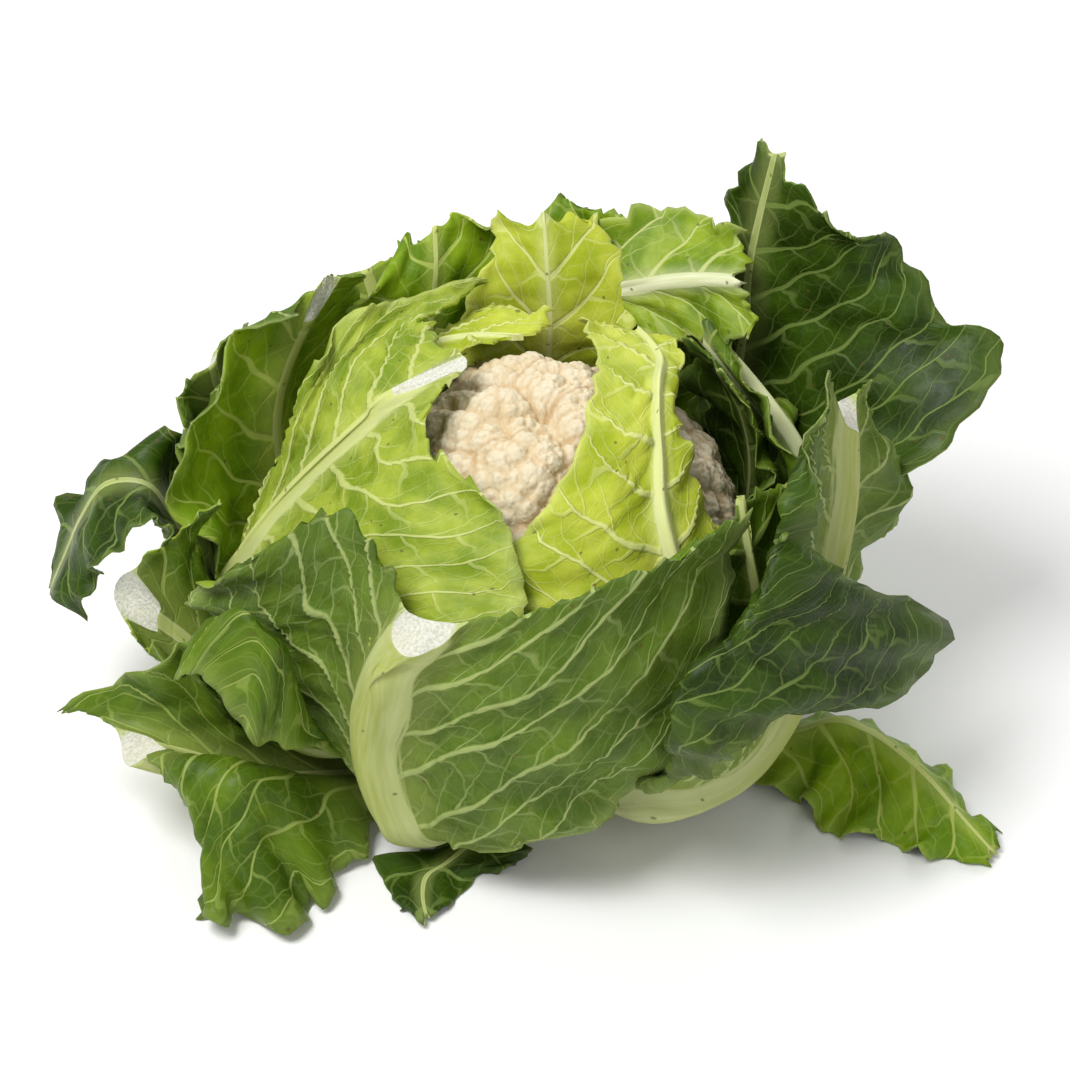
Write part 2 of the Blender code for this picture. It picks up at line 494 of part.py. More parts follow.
# Colour, roughness of each kind of surface
COLOURS = {
    "curd": ((0.80, 0.66, 0.47), 0.75),
    "stalk": ((0.62, 0.64, 0.42), 0.60),
    "pale": ((0.42, 0.55, 0.10), 0.50),
    "inner": ((0.33, 0.50, 0.12), 0.50),
    "mid": ((0.14, 0.30, 0.03), 0.45),
    "dark": ((0.05, 0.14, 0.02), 0.45),
    "outer": ((0.18, 0.33, 0.10), 0.55),
}


def material(kind):
    """The plain material of one kind of surface, made once."""
    found = bpy.data.materials.get(kind)
    if found:
        return found
    made = bpy.data.materials.new(kind)
    made.use_nodes = True
    shader = made.node_tree.nodes["Principled BSDF"]
    colour, rough = COLOURS[kind]
    shader.inputs["Base Color"].default_value = (*colour, 1)
    shader.inputs["Roughness"].default_value = rough
    shader.inputs["Metallic"].default_value = 0
    return made


def add_object(name, points, faces, kind, collection):
    """Makes one named object from points in millimetres."""
    mesh = bpy.data.meshes.new(name)
    mesh.from_pydata([tuple(p * MM) for p in points], [], faces)
    mesh.materials.append(material(kind))
    item = bpy.data.objects.new(name, mesh)
    collection.objects.link(item)
    return item


def spread_points(count):
    """Directions spread evenly over a sphere along a spiral."""
    k = np.arange(count) + 0.5
    height = 1 - 2 * k / count
    turn = k * math.pi * (3 - math.sqrt(5))
    ring = np.sqrt(1 - height ** 2)
    return np.stack([ring * np.cos(turn), ring * np.sin(turn), height], -1)


def bumps(directions, spacing, seed):
    """Height from 0 to 1 of round knobs, spacing apart, over the curd's sphere."""
    count = int(4 * math.pi * CURD_RADIUS ** 2 / (0.87 * spacing ** 2))
    draw = np.random.default_rng(seed)
    centres = spread_points(count) + draw.normal(0, 0.16 * spacing / CURD_RADIUS, (count, 3))
    centres /= np.linalg.norm(centres, axis=1, keepdims=True)
    near = np.arccos(np.clip(directions @ centres.T, -1, 1)).min(axis=1) * CURD_RADIUS
    return np.sqrt(np.clip(1 - (near / (0.72 * spacing)) ** 2, 0, 1))


def curd_radius(directions):
    """Distance of the curd's surface from its centre: a dome on a cone, with knobs above."""
    side = np.linalg.norm(directions[:, :2], axis=1)
    down = -directions[:, 2]
    drop = CURD_CENTRE[2] - CURD_BOTTOM
    cone = np.array((drop, CURD_RADIUS - STALK_RADIUS))
    cone /= np.linalg.norm(cone)
    slant = CURD_RADIUS * cone[0] / np.maximum(side * cone[0] + down * cone[1], 0.01)
    flat = drop / np.maximum(down, 0.01)
    base = np.minimum(np.minimum(CURD_RADIUS, slant), flat)
    show = np.clip((directions[:, 2] + 0.2) / 0.3, 0, 1)
    relief = CLUSTER_DEPTH * (bumps(directions, CLUSTER_SPACING, 1) - 1)
    relief += KNOB_DEPTH * (bumps(directions, KNOB_SPACING, 2) - 0.8)
    return base + relief * show


def curd(collection):
    """The head of florets: rings of points round a level axis, closer at the top, raised in knobs."""
    share = np.arange(1, CURD_RINGS + 1) / (CURD_RINGS + 1)
    polar = math.pi * share + CURD_TOP_CLOSER / 2 * np.sin(2 * math.pi * share)
    share = np.arange(CURD_SIDES) / CURD_SIDES - 0.5
    turns = 2 * math.pi * share - CURD_TOP_CLOSER * np.sin(2 * math.pi * share)
    directions = [(-1, 0, 0)]
    for p in polar:
        directions += [(-math.cos(p), math.sin(p) * math.sin(t), math.sin(p) * math.cos(t)) for t in turns]
    directions.append((1, 0, 0))
    directions = np.array(directions)
    points = directions * curd_radius(directions)[:, None] + np.array(CURD_CENTRE)
    faces = []
    last = len(points) - 1
    for j in range(CURD_SIDES):
        k = (j + 1) % CURD_SIDES
        faces.append((0, 1 + j, 1 + k))
        for i in range(CURD_RINGS - 1):
            a, b = 1 + i * CURD_SIDES, 1 + (i + 1) * CURD_SIDES
            faces += [(a + j, b + j, b + k), (a + j, b + k, a + k)]
        a = 1 + (CURD_RINGS - 1) * CURD_SIDES
        faces.append((a + j, last, a + k))
    add_object("curd", points, faces, "curd", collection)
    return points, faces


def stalk(collection):
    """The cut stem: a short round post with a rounded rim at its cut face."""
    bpy.ops.mesh.primitive_cylinder_add(vertices=STALK_SIDES, radius=STALK_RADIUS * MM, depth=STALK_TOP * MM,
                                        location=(0, 0, STALK_TOP * MM / 2))
    item = bpy.context.object
    item.name = "stalk"
    for old in list(item.users_collection):
        old.objects.unlink(item)
    collection.objects.link(item)
    bevel = item.modifiers.new("rim", "BEVEL")
    bevel.width = STALK_BEVEL * MM
    bevel.segments = 2
    item.data.materials.append(material("stalk"))


def grow(leaf, placed):
    """A leaf's laid sheet, its distances from the rib, and the thickness of its two faces."""
    cells = leaf["cells"]
    leaf["columns"] = max(5, len(leaf["rows"][0]))
    leaf["spine"] = leaf.get("spine", 2)
    sheet, reach = sheet_of(leaf, *cells, leaf.get("rib_cells", 2))
    sheet = ruffle(leaf, sheet, reach)
    inner, outer = thickness(leaf, reach)
    sheet = lay_over(sheet, inner, placed)
    sheet[..., 2] = np.maximum(sheet[..., 2], outer + FLOOR_GAP)
    sheet = loosen(sheet, inner, outer)
    return sheet, reach, inner, outer


def cut_mesh(item, neighbour, solver):
    """The mesh of a leaf with the room of a neighbour taken away."""
    cut = item.modifiers.new("clear", "BOOLEAN")
    cut.operation = "DIFFERENCE"
    cut.object = neighbour
    cut.solver = solver
    depsgraph = bpy.context.evaluated_depsgraph_get()
    mesh = bpy.data.meshes.new_from_object(item.evaluated_get(depsgraph))
    item.modifiers.clear()
    return mesh


def trim(item, neighbours):
    """Cuts a leaf clear of the neighbours that it still crosses, and keeps its largest part."""
    for neighbour in neighbours:
        depsgraph = bpy.context.evaluated_depsgraph_get()
        mine = BVHTree.FromObject(item, depsgraph)
        theirs = BVHTree.FromObject(neighbour, depsgraph)
        if not mine.overlap(theirs):
            continue
        for solver, merge in (("EXACT", MERGE), ("MANIFOLD", MERGE), ("EXACT", 0), ("MANIFOLD", 0)):
            mesh = cut_mesh(item, neighbour, solver)
            if keep_largest(mesh, merge * MM):
                break
        item.data = mesh


def keep_largest(mesh, merge):
    """Drops the loose scraps of a cut mesh and merges close points. True if it is one closed skin."""
    work = bmesh.new()
    work.from_mesh(mesh)
    bmesh.ops.triangulate(work, faces=work.faces)
    left = set(work.faces)
    best = []
    while left:
        seed = left.pop()
        group, queue = [seed], [seed]
        while queue:
            for edge in queue.pop().edges:
                for face in edge.link_faces:
                    if face in left:
                        left.remove(face)
                        group.append(face)
                        queue.append(face)
        if sum(f.calc_area() for f in group) > sum(f.calc_area() for f in best):
            best = group
    keep = set(best)
    bmesh.ops.delete(work, geom=[f for f in work.faces if f not in keep], context="FACES")
    short = [e for e in work.edges if e.calc_length() < merge]
    bmesh.ops.collapse(work, edges=short)
    bmesh.ops.triangulate(work, faces=work.faces)
    closed = all(v.is_manifold for v in work.verts) and all(e.is_manifold for e in work.edges)
    work.to_mesh(mesh)
    work.free()
    return closed


def main():
    for item in list(bpy.data.objects):
        bpy.data.objects.remove(item)
    parts = bpy.data.collections.new("cauliflower")
    cutters = bpy.data.collections.new("cutters")
    for collection in (parts, cutters):
        bpy.context.scene.collection.children.link(collection)
    stalk(parts)
    points, faces = curd(parts)
    placed = [{"tree": tree_of(points, faces), "outer": [0.0] * len(faces)}]
    shells = []
    for leaf in LEAVES:
        sheet, _, inner, outer = grow(leaf, placed)
        placed.append(record_sheet(sheet, outer))
        item = add_object(leaf["name"], *mesh_arrays(sheet, inner, outer), leaf["colour"], parts)
        trim(item, shells)
        room = mesh_arrays(room_of(sheet), inner + GAP, outer + GAP)
        shell = add_object(leaf["name"] + "_room", *room, leaf["colour"], cutters)
        shell.hide_render = True
        shell.display_type = "WIRE"
        shells.append(shell)


main()
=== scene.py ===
# %% [markdown]
# # A trimmed head of cauliflower
#
# The real thing is a round white head of florets on a thick stalk, wrapped in leaves whose tops
# were cut off for the shop. This lesson dresses a plain solid model of it. It first loads the
# solids, which hold every piece's place and size. Then it grows fine leaves and florets over
# them, gives each surface a finish made of shader nodes, and sets up the camera and the light.
# Nothing is painted from a picture: every vein and floret comes from a rule.

# %% Load the solids
import math

import bpy
import numpy as np
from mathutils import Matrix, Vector
from mathutils.bvhtree import BVHTree
from mathutils.kdtree import KDTree


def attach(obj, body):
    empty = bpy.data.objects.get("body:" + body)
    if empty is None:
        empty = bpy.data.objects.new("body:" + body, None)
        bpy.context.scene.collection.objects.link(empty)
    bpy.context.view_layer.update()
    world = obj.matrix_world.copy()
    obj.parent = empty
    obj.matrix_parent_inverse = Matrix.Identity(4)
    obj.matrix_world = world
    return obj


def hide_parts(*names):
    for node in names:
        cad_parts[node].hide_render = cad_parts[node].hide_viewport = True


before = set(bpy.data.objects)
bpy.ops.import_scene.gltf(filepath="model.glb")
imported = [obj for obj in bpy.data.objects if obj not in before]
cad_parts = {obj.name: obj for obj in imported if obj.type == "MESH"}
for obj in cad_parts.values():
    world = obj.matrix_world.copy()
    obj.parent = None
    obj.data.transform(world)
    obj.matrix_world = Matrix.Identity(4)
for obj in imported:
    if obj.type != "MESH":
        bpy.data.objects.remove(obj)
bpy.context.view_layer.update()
MM = 0.001
print("solids:", len(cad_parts))

# %% [markdown]
# ## Camera
#
# The head is seen from 38 degrees above, with a long lens, so near and far leaves keep their
# true proportions. A long lens needs distance: the distance follows from how many millimetres
# one pixel should cover at the middle of the head. The plain view transform keeps the greens as
# strong as they are set; the filmic one would dull them.

# %% Camera
LENS = 85.0
SENSOR = 36.0
ELEVATION = math.radians(38)
LOOK_AT = Vector((0, 0, 0.085))
VIEW_WIDTH = 0.3638         # what the picture shows across at LOOK_AT, in metres


def add_object(name, data):
    """A new object in the scene."""
    made = bpy.data.objects.new(name, data)
    bpy.context.scene.collection.objects.link(made)
    return made


camera = add_object("camera", bpy.data.cameras.new("camera"))
camera.data.lens = LENS
camera.data.sensor_width = SENSOR
camera.data.clip_start = 0.05
away = Vector((0, -math.cos(ELEVATION), math.sin(ELEVATION)))
camera.location = LOOK_AT + away * VIEW_WIDTH * LENS / SENSOR
camera.rotation_euler = (math.pi / 2 - ELEVATION, 0, 0)
bpy.context.scene.camera = camera
bpy.context.scene.view_settings.view_transform = "Standard"
print("camera distance:", round(VIEW_WIDTH * LENS / SENSOR, 3), "m")

# %% [markdown]
# ## Light and floor
#
# A shop's picture of food uses broad soft lights, so that leaves shade each other gently: a key
# light from above, a weak fill from the front and a rim light from behind. A pale surround
# fills the shadows. The floor is a plain sheet far larger than the picture.

# %% Light and floor
# name: where it stands in metres, its width in metres, its power in watts
LIGHTS = {
    "key": ((-0.5, -0.35, 1.2), 0.6, 15),
    "fill": ((1.0, -1.0, 0.7), 1.2, 3),
    "rim": ((0.3, 1.1, 0.9), 0.8, 6),
}
SURROUND = 0.4              # strength of the light from all round
FLOOR_HALF = 6              # from the middle to an edge, in metres
FLOOR_COLOUR = (0.95, 0.95, 0.94, 1)


def area_light(name, place, size, power):
    """A square soft light that faces the head."""
    light = add_object(name, bpy.data.lights.new(name, "AREA"))
    light.data.size = size
    light.data.energy = power
    light.location = place
    light.rotation_euler = (LOOK_AT - Vector(place)).to_track_quat("-Z", "Y").to_euler()


def new_material(name):
    """A material with its node tree and its Principled shader."""
    made = bpy.data.materials.new(name)
    made.use_nodes = True
    return made, made.node_tree, made.node_tree.nodes["Principled BSDF"]


for name, (stand, size, power) in LIGHTS.items():
    area_light(name, stand, size, power)
world = bpy.data.worlds.new("surround")
world.use_nodes = True
surround = world.node_tree.nodes["Background"]
surround.inputs["Color"].default_value = (1.0, 1.0, 1.0, 1)
surround.inputs["Strength"].default_value = SURROUND
bpy.context.scene.world = world

floor_mesh = bpy.data.meshes.new("floor")
sides = ((-1, -1), (1, -1), (1, 1), (-1, 1))
floor_corners = [(x * FLOOR_HALF, y * FLOOR_HALF, 0) for x, y in sides]
floor_mesh.from_pydata(floor_corners, [], [(0, 1, 2, 3)])
floor = add_object("floor", floor_mesh)
floor_finish, _, floor_shader = new_material("pale_floor")
floor_shader.inputs["Base Color"].default_value = FLOOR_COLOUR
floor_shader.inputs["Roughness"].default_value = 0.7
floor_mesh.materials.append(floor_finish)

# %% [markdown]
# ## Lines and grids
#
# Each leaf starts as a small net of listed points: how far round the head, how far out
# and how high. A smooth curve that goes through every given point needs no control handles, so
# the same few numbers give the leaf's rib, folds and margins.

# %% Curves through points
def place(point):
    """Turns (bearing, radius, height) into x, y, z."""
    bearing = math.radians(point[0])
    return np.array((point[1] * math.sin(bearing), -point[1] * math.cos(bearing), point[2]))


def middle(a, b, belly):
    """The point half way round between two others, moved outwards by belly."""
    return ((a[0] + b[0]) / 2, (a[1] + b[1]) / 2 + belly, (a[2] + b[2]) / 2)


def flow(points, steps):
    """A smooth curve through the points of an array's first axis, with steps per span."""
    ends = np.concatenate([2 * points[:1] - points[1:2], points, 2 * points[-1:] - points[-2:-1]])
    out = []
    for i in range(len(points) - 1):
        p0, p1, p2, p3 = ends[i:i + 4]
        for k in range(steps):
            t = k / steps
            out.append(0.5 * (2 * p1 + (p2 - p0) * t + (2 * p0 - 5 * p1 + 4 * p2 - p3) * t ** 2
                              + (3 * p1 - p0 - 3 * p2 + p3) * t ** 3))
    out.append(points[-1])
    return np.array(out)


def lengths(line):
    """Length along a line of points, from its first."""
    return np.concatenate([[0.0], np.cumsum(np.linalg.norm(np.diff(line, axis=0), axis=1))])


def along(line, distances):
    """Points of a line at given distances from its start."""
    run = lengths(line)
    return np.stack([np.interp(distances, run, line[:, k]) for k in range(3)], -1)


print("a curve through 3 points, 4 steps each:", len(flow(np.eye(3), 4)), "points")

# %% [markdown]
# ## The leaves' nets
#
# One entry per leaf, from the innermost to the outermost. "ring", "at" and "foot" say where its
# stem leaves the stalk. "rib" is the rib's width at its base, a third of the way up and at its
# end, and "deep" is how far it stands out. "rows" holds the points, from base to tip, and from
# one margin to the other. A leaf that is "cut" ends in a knife cut, and the rest keep their tip.

# %% Nets
LEAVES = (
    dict(name="leaf_inner_right", ring=3, at=36, foot=(37, 58, 44), rib=(11, 9, 3), deep=(7, 5, 2),
         belly=2, waves=4, ruffle=2.0, teeth=4, seed=3, cells=(14, 4, 3), colour="pale", cut=False,
         rows=(((8, 79, 78), (36, 79, 72), (62, 79, 74)),
               ((-2, 77, 100), (38, 78, 100), (64, 78, 100)),
               ((-10, 63, 120), (42, 60, 123), (64, 63, 118)),
               ((4, 50, 135), (58, 46, 136), (68, 52, 134)),
               ((40, 26, 147), (88, 39, 143), (84, 47, 139)),
               ((138, 30, 146), (120, 48, 140), (112, 52, 138)),
               ((162, 50, 138), (146, 63, 133), (136, 66, 132)))),
    dict(name="leaf_inner_back_left", ring=3, at=-134, foot=(-134, 58, 43), rib=(11, 8, 3),
         deep=(7, 4, 1.5),
         belly=2, waves=4, ruffle=2.0, teeth=5, seed=5, cells=(12, 3, 3), colour="pale", cut=False,
         rows=(((-160, 79, 68), (-134, 78, 64), (-110, 79, 66)),
               ((-162, 81, 95), (-131, 80, 94), (-108, 80, 95)),
               ((-164, 74, 120), (-132, 72, 120), (-110, 70, 119)),
               ((-170, 66, 131), (-150, 56, 132), (-124, 50, 134)),
               ((-186, 54, 136), (-172, 44, 136), (-150, 32, 142)))),
    dict(name="leaf_back", ring=3, at=177, foot=(177, 58, 44), rib=(11, 8, 3), deep=(7, 4, 1.5),
         belly=2, waves=4, ruffle=3.0, teeth=6, seed=7, cells=(12, 3, 3), colour="pale", cut=False,
         rows=(((158, 79, 68), (177, 78, 64), (196, 79, 66)),
               ((150, 82, 92), (177, 82, 92), (202, 83, 92)),
               ((152, 80, 120), (176, 77, 120), (199, 79, 122)),
               ((160, 85, 143), (177, 81, 141), (192, 85, 147)),
               ((166, 94, 152), (178, 88, 155), (187, 91, 156)))),
    dict(name="leaf_dark_inner", ring=3, at=112, foot=(112, 58, 44), rib=(10, 7, 3),
         deep=(7, 4, 1.5),
         belly=2, waves=5, ruffle=3.0, teeth=6, seed=9, cells=(10, 3, 3), colour="mid", cut=False,
         rows=(((94, 79, 68), (112, 78, 64), (130, 79, 68)),
               ((90, 81, 94), (112, 81, 92), (134, 81, 94)),
               ((93, 76, 117), (112, 76, 116), (134, 76, 118)),
               ((100, 68, 131), (113, 68, 132), (128, 68, 134)))),
    dict(name="leaf_inner_left", ring=2, at=-78, foot=(-80, 58, 28), rib=(12, 10, 11),
         deep=(8, 6, 5),
         belly=3, waves=5, ruffle=2.0, teeth=5, seed=11, cells=(16, 4, 4), colour="inner", cut=True,
         rows=(((-95, 86, 44), (-85, 86, 38), (-73, 86, 40)),
               ((-102, 94, 78), (-88, 104, 62), (-68, 100, 62)),
               ((-108, 86, 110), (-93, 94, 79), (-54, 88, 80)),
               ((-114, 79, 136), (-96, 81, 96), (-33, 83, 96)),
               ((-130, 75, 144), (-97, 62, 118), (-11, 82, 106)),
               ((-152, 76, 140), (-100, 44, 136), (-1, 73, 119)),
               ((-168, 82, 134), (-108, 24, 151), (-14, 54, 139)))),
    dict(name="leaf_front_inner", ring=2, at=58, foot=(58, 58, 29), rib=(11, 9, 3), deep=(8, 5, 2),
         belly=2, waves=5, ruffle=2.0, teeth=5, seed=13, cells=(12, 4, 3), colour="mid", cut=False,
         rows=(((38, 86, 52), (58, 86, 46), (78, 86, 52)),
               ((26, 88, 86), (56, 88, 82), (82, 88, 86)),
               ((16, 82, 110), (54, 84, 112), (84, 88, 112)),
               ((32, 76, 126), (56, 78, 130), (78, 86, 128)))),
    dict(name="leaf_back_folded", ring=2, at=168, foot=(168, 58, 29), rib=(12, 9, 5),
         deep=(8, 5, 4),
         belly=2, waves=5, ruffle=2.5, teeth=6, seed=15, cells=(14, 3, 4),
         colour="inner", cut=False,
         rows=(((150, 86, 56), (168, 86, 48), (184, 86, 54)),
               ((150, 90, 92), (170, 90, 90), (186, 90, 92)),
               ((154, 84, 116), (171, 86, 122), (182, 95, 132)),
               ((146, 82, 122), (158, 84, 134), (167, 100, 150)),
               ((134, 86, 128), (144, 88, 142), (152, 106, 158)),
               ((124, 90, 134), (131, 93, 148), (136, 104, 158)))),
    dict(name="leaf_right_inner", ring=2, at=93, foot=(93, 58, 29), rib=(12, 11, 9), deep=(8, 7, 6),
         belly=1, waves=5, ruffle=2.5, teeth=5, seed=17, cells=(12, 3, 3), colour="mid", cut=True,
         rows=(((80, 86, 52), (95, 86, 46), (110, 86, 52)),
               ((82, 88, 84), (97, 92, 78), (114, 92, 84)),
               ((88, 80, 112), (105, 90, 103), (120, 99, 100)),
               ((108, 74, 128), (121, 84, 115), (131, 97, 108)),
               ((135, 78, 137), (143, 86, 126), (148, 95, 117)))),
    dict(name="leaf_back_left", ring=2, at=206, foot=(206, 58, 29), rib=(12, 9, 4), deep=(8, 5, 2),
         belly=2, waves=6, ruffle=4.0, teeth=8, seed=19, cells=(12, 3, 3), colour="mid", cut=False,
         rows=(((188, 86, 54), (206, 86, 48), (226, 86, 54)),
               ((183, 94, 88), (205, 93, 86), (228, 92, 88)),
               ((182, 97, 118), (203, 96, 116), (224, 93, 114)),
               ((184, 101, 136), (201, 99, 136), (216, 98, 130)),
               ((190, 106, 145), (200, 105, 146), (208, 104, 141)))),
    dict(name="leaf_upper_left", ring=2, at=-112, foot=(-112, 58, 29), rib=(14, 12, 13),
         deep=(8, 6, 5),
         belly=4, waves=5, ruffle=3.0, teeth=4, seed=21, cells=(13, 3, 4), colour="dark", cut=True,
         rows=(((-130, 86, 56), (-112, 86, 48), (-94, 90, 50)),
               ((-136, 96, 86), (-113, 97, 82), (-88, 110, 76)),
               ((-138, 100, 110), (-116, 100, 108), (-90, 118, 108)),
               ((-140, 98, 130), (-123, 97, 130), (-103, 111, 132)),
               ((-141, 92, 146), (-130, 90, 148), (-119, 95, 146)))),
    dict(name="leaf_back_right", ring=2, at=130, foot=(130, 58, 29), rib=(13, 11, 7),
         deep=(8, 6, 4),
         belly=3, waves=6, ruffle=2.5, teeth=5, seed=25, cells=(17, 5, 2), spine=4,
         colour="dark", cut=False,
         rows=(((111, 84, 45), (115, 82, 42), (120, 80, 39), (125, 78, 36),
                (131, 76, 34), (136, 75, 37), (139, 74, 40)),
               ((94, 107, 80), (99, 104, 74), (108, 99, 68), (118, 95, 62),
                (132, 90, 58), (138, 90, 61), (142, 90, 64)),
               ((93, 125, 102), (98, 119, 99), (107, 112, 96), (119, 104, 90),
                (133, 98, 86), (139, 98, 88), (144, 98, 90)),
               ((98, 146, 122), (102, 134, 119), (109, 121, 116), (121, 108, 113),
                (134, 102, 110), (139, 102, 111), (144, 101, 113)),
               ((103, 165, 141), (107, 145, 136), (114, 124, 132), (124, 110, 129),
                (134, 104, 126), (139, 104, 127), (143, 103, 129)),
               ((107, 140, 143), (111, 130, 141), (117, 120, 141), (126, 110, 141),
                (135, 106, 141), (139, 106, 142), (143, 105, 143)),
               ((118, 144, 160), (116, 129, 155), (120, 118, 153), (128, 110, 153),
                (135, 108, 155), (139, 108, 156), (142, 107, 157)),
               ((117, 124, 167), (119, 117, 173), (123, 112, 179), (128, 110, 183),
                (133, 111, 187), (136, 111, 188), (139, 111, 189)))),
    dict(name="leaf_front", ring=1, at=-24, foot=(-23, 56, 17), rib=(24, 24, 21),
         deep=(8.5, 11.5, 10),
         belly=2, waves=5, ruffle=2.5, teeth=5, seed=29, cells=(16, 6, 5), spine=4, rib_cells=4,
         colour="outer", cut=True,
         rows=(((-44, 84, 30), (-42, 83, 28), (-39, 82, 26), (-35, 82, 21),
                (-30, 80, 18), (-23, 83, 17), (-14, 86, 20)),
               ((-54, 97, 58), (-51, 93, 56), (-47, 88, 52), (-41, 87, 45),
                (-35, 86, 38), (-12, 92, 38), (9, 92, 36)),
               ((-72, 110, 72), (-61, 101, 74), (-48, 89, 80), (-42, 88, 72),
                (-36, 87, 63), (-4, 94, 66), (28, 95, 60)),
               ((-75, 115, 84), (-61, 99, 93), (-45, 86, 108), (-37, 86, 98),
                (-30, 87, 90), (4, 94, 98), (37, 95, 100)),
               ((-70, 107, 102), (-60, 94, 119), (-49, 82, 138), (-35, 82, 127),
                (-22, 87, 113), (13, 90, 133), (47, 90, 143)))),
    dict(name="leaf_right", ring=1, at=26, foot=(27, 56, 18), rib=(23, 23, 20), deep=(8.5, 11, 9),
         belly=2, waves=5, ruffle=2.5, teeth=6, seed=27, cells=(18, 7, 3), spine=4, rib_cells=4,
         colour="outer", cut=True,
         rows=(((21, 81, 45), (23, 80, 43), (25, 79, 40), (28, 77, 35),
                (34, 78, 25), (41, 78, 20), (47, 78, 17)),
               ((26, 124, 66), (21, 117, 69), (21, 106, 66), (36, 103, 55),
                (54, 84, 27), (61, 84, 17), (67, 84, 12)),
               ((41, 121, 88), (30, 119, 97), (21, 107, 96), (41, 103, 81),
                (66, 90, 42), (75, 92, 32), (82, 94, 28)),
               ((64, 134, 66), (44, 126, 92), (23, 108, 117), (43, 103, 101),
                (68.5, 94, 60), (77, 99, 54), (85, 103, 50)),
               ((75, 143, 82), (50, 129, 106), (25, 108, 134), (46, 103, 114),
                (71, 96, 79), (80, 102, 74), (88, 107, 72)),
               ((50, 122, 120), (38, 118, 133), (29, 107, 143), (49, 102, 124),
                (75, 98, 98), (84, 107, 97), (91, 114, 98)),
               ((36, 105, 153), (39, 104, 151), (44, 102, 149), (56, 100, 141),
                (79, 99, 120), (87, 108, 118), (93, 116, 116)),
               ((80, 97, 165), (79, 97, 161), (79, 96, 157), (80, 96, 152),
                (82, 97, 148), (87, 104, 147), (91, 110, 146)))),
    dict(name="leaf_ribbon_left", ring=2, at=-49, foot=(-50, 58, 28), rib=(9, 8, 4), deep=(7, 5, 2),
         belly=2, waves=4, ruffle=2.0, teeth=4, seed=23, cells=(12, 2, 6), colour="mid", cut=False,
         rows=(((-66, 87, 42), (-62, 86, 36), (-57, 86, 30), (-54, 90, 42),
                (-51, 98, 60), (-50, 108, 56)),
               ((-70, 100, 48), (-66, 99, 42), (-61, 98, 38), (-54, 102, 66),
                (-48, 105, 104), (-49, 121, 62)),
               ((-73, 112, 54), (-70, 111, 48), (-66, 109, 44), (-60, 111, 70),
                (-57, 113, 104), (-56, 127, 84)),
               ((-73, 122, 56), (-72, 121, 54), (-70, 119, 53), (-67, 122, 66),
                (-65, 123, 82), (-63, 132, 74)))),
    dict(name="leaf_left", ring=1, at=-74, foot=(-75, 58, 17), rib=(16, 17, 18), deep=(8.5, 8, 8),
         belly=1, waves=3, ruffle=1.5, teeth=3, seed=31, cells=(12, 3, 3), colour="outer", cut=True,
         rows=(((-89, 86, 48), (-83, 84, 34), (-77, 87, 25), (-71, 90, 25), (-67, 92, 30)),
               ((-87, 97, 78), (-85, 102, 56), (-79, 107, 39), (-74, 109, 36), (-70, 111, 40)),
               ((-85, 101, 100), (-85, 113, 78), (-82, 124, 56), (-78, 124, 49), (-75, 124, 50)),
               ((-84, 107, 108), (-85, 124, 92), (-83, 141, 74), (-80, 138, 62), (-78, 133, 55)))),
    dict(name="leaf_back_outer", ring=1, at=160, foot=(160, 58, 18), rib=(18, 15, 11),
         deep=(8.5, 8, 6),
         belly=3, waves=5, ruffle=3.5, teeth=6, seed=33, cells=(13, 3, 3), colour="outer", cut=True,
         rows=(((144, 94, 46), (160, 93, 34), (178, 94, 46)),
               ((138, 106, 86), (161, 106, 78), (184, 106, 86)),
               ((140, 112, 122), (161, 111, 116), (183, 110, 124)),
               ((148, 120, 146), (161, 116, 142), (176, 117, 147)))),
    dict(name="leaf_back_left_outer", ring=1, at=206, foot=(206, 58, 18), rib=(18, 16, 12),
         deep=(8.5, 8, 7),
         belly=3, waves=5, ruffle=3.5, teeth=6, seed=35, cells=(13, 3, 3), colour="outer", cut=True,
         rows=(((190, 94, 46), (206, 93, 34), (224, 94, 46)),
               ((186, 108, 82), (207, 108, 76), (230, 107, 82)),
               ((190, 116, 112), (209, 116, 106), (230, 113, 112)),
               ((196, 124, 128), (210, 124, 124), (224, 118, 126)))),
    dict(name="leaf_left_outer", ring=1, at=248, foot=(248, 58, 18), rib=(18, 16, 12),
         deep=(8.5, 8, 7),
         belly=3, waves=5, ruffle=3.0, teeth=6, seed=37, cells=(13, 3, 3), colour="outer", cut=True,
         rows=(((236, 94, 46), (248, 93, 34), (260, 94, 42)),
               ((235, 108, 84), (249, 108, 76), (263, 109, 80)),
               ((236, 114, 116), (250, 115, 110), (263, 120, 108)),
               ((241, 113, 132), (251, 117, 130), (261, 119, 126)))),
    dict(name="leaf_left_back", ring=0, at=-92, foot=(-93, 58, 9), rib=(15, 13, 5),
         deep=(8, 6, 2),
         belly=2, waves=4, ruffle=4.0, teeth=5, seed=39, cells=(14, 3, 3),
         colour="outer", cut=False,
         rows=(((-106, 92, 34), (-94, 94, 20), (-84, 96, 30)),
               ((-112, 118, 70), (-97, 116, 56), (-84, 120, 84)),
               ((-106, 132, 100), (-96, 134, 96), (-86, 130, 104)),
               ((-102, 150, 100), (-94, 150, 94), (-84, 142, 90)),
               ((-98, 168, 62), (-92, 168, 58), (-86, 160, 60)))),
    dict(name="leaf_back_right_outer", ring=0, at=128, foot=(128, 60, 9), rib=(18, 16, 12),
         deep=(8, 8, 7),
         belly=3, waves=4, ruffle=3.0, teeth=5, seed=41, cells=(13, 3, 3), colour="outer", cut=True,
         rows=(((112, 100, 32), (128, 100, 22), (144, 100, 32)),
               ((106, 120, 66), (127, 118, 58), (148, 116, 68)),
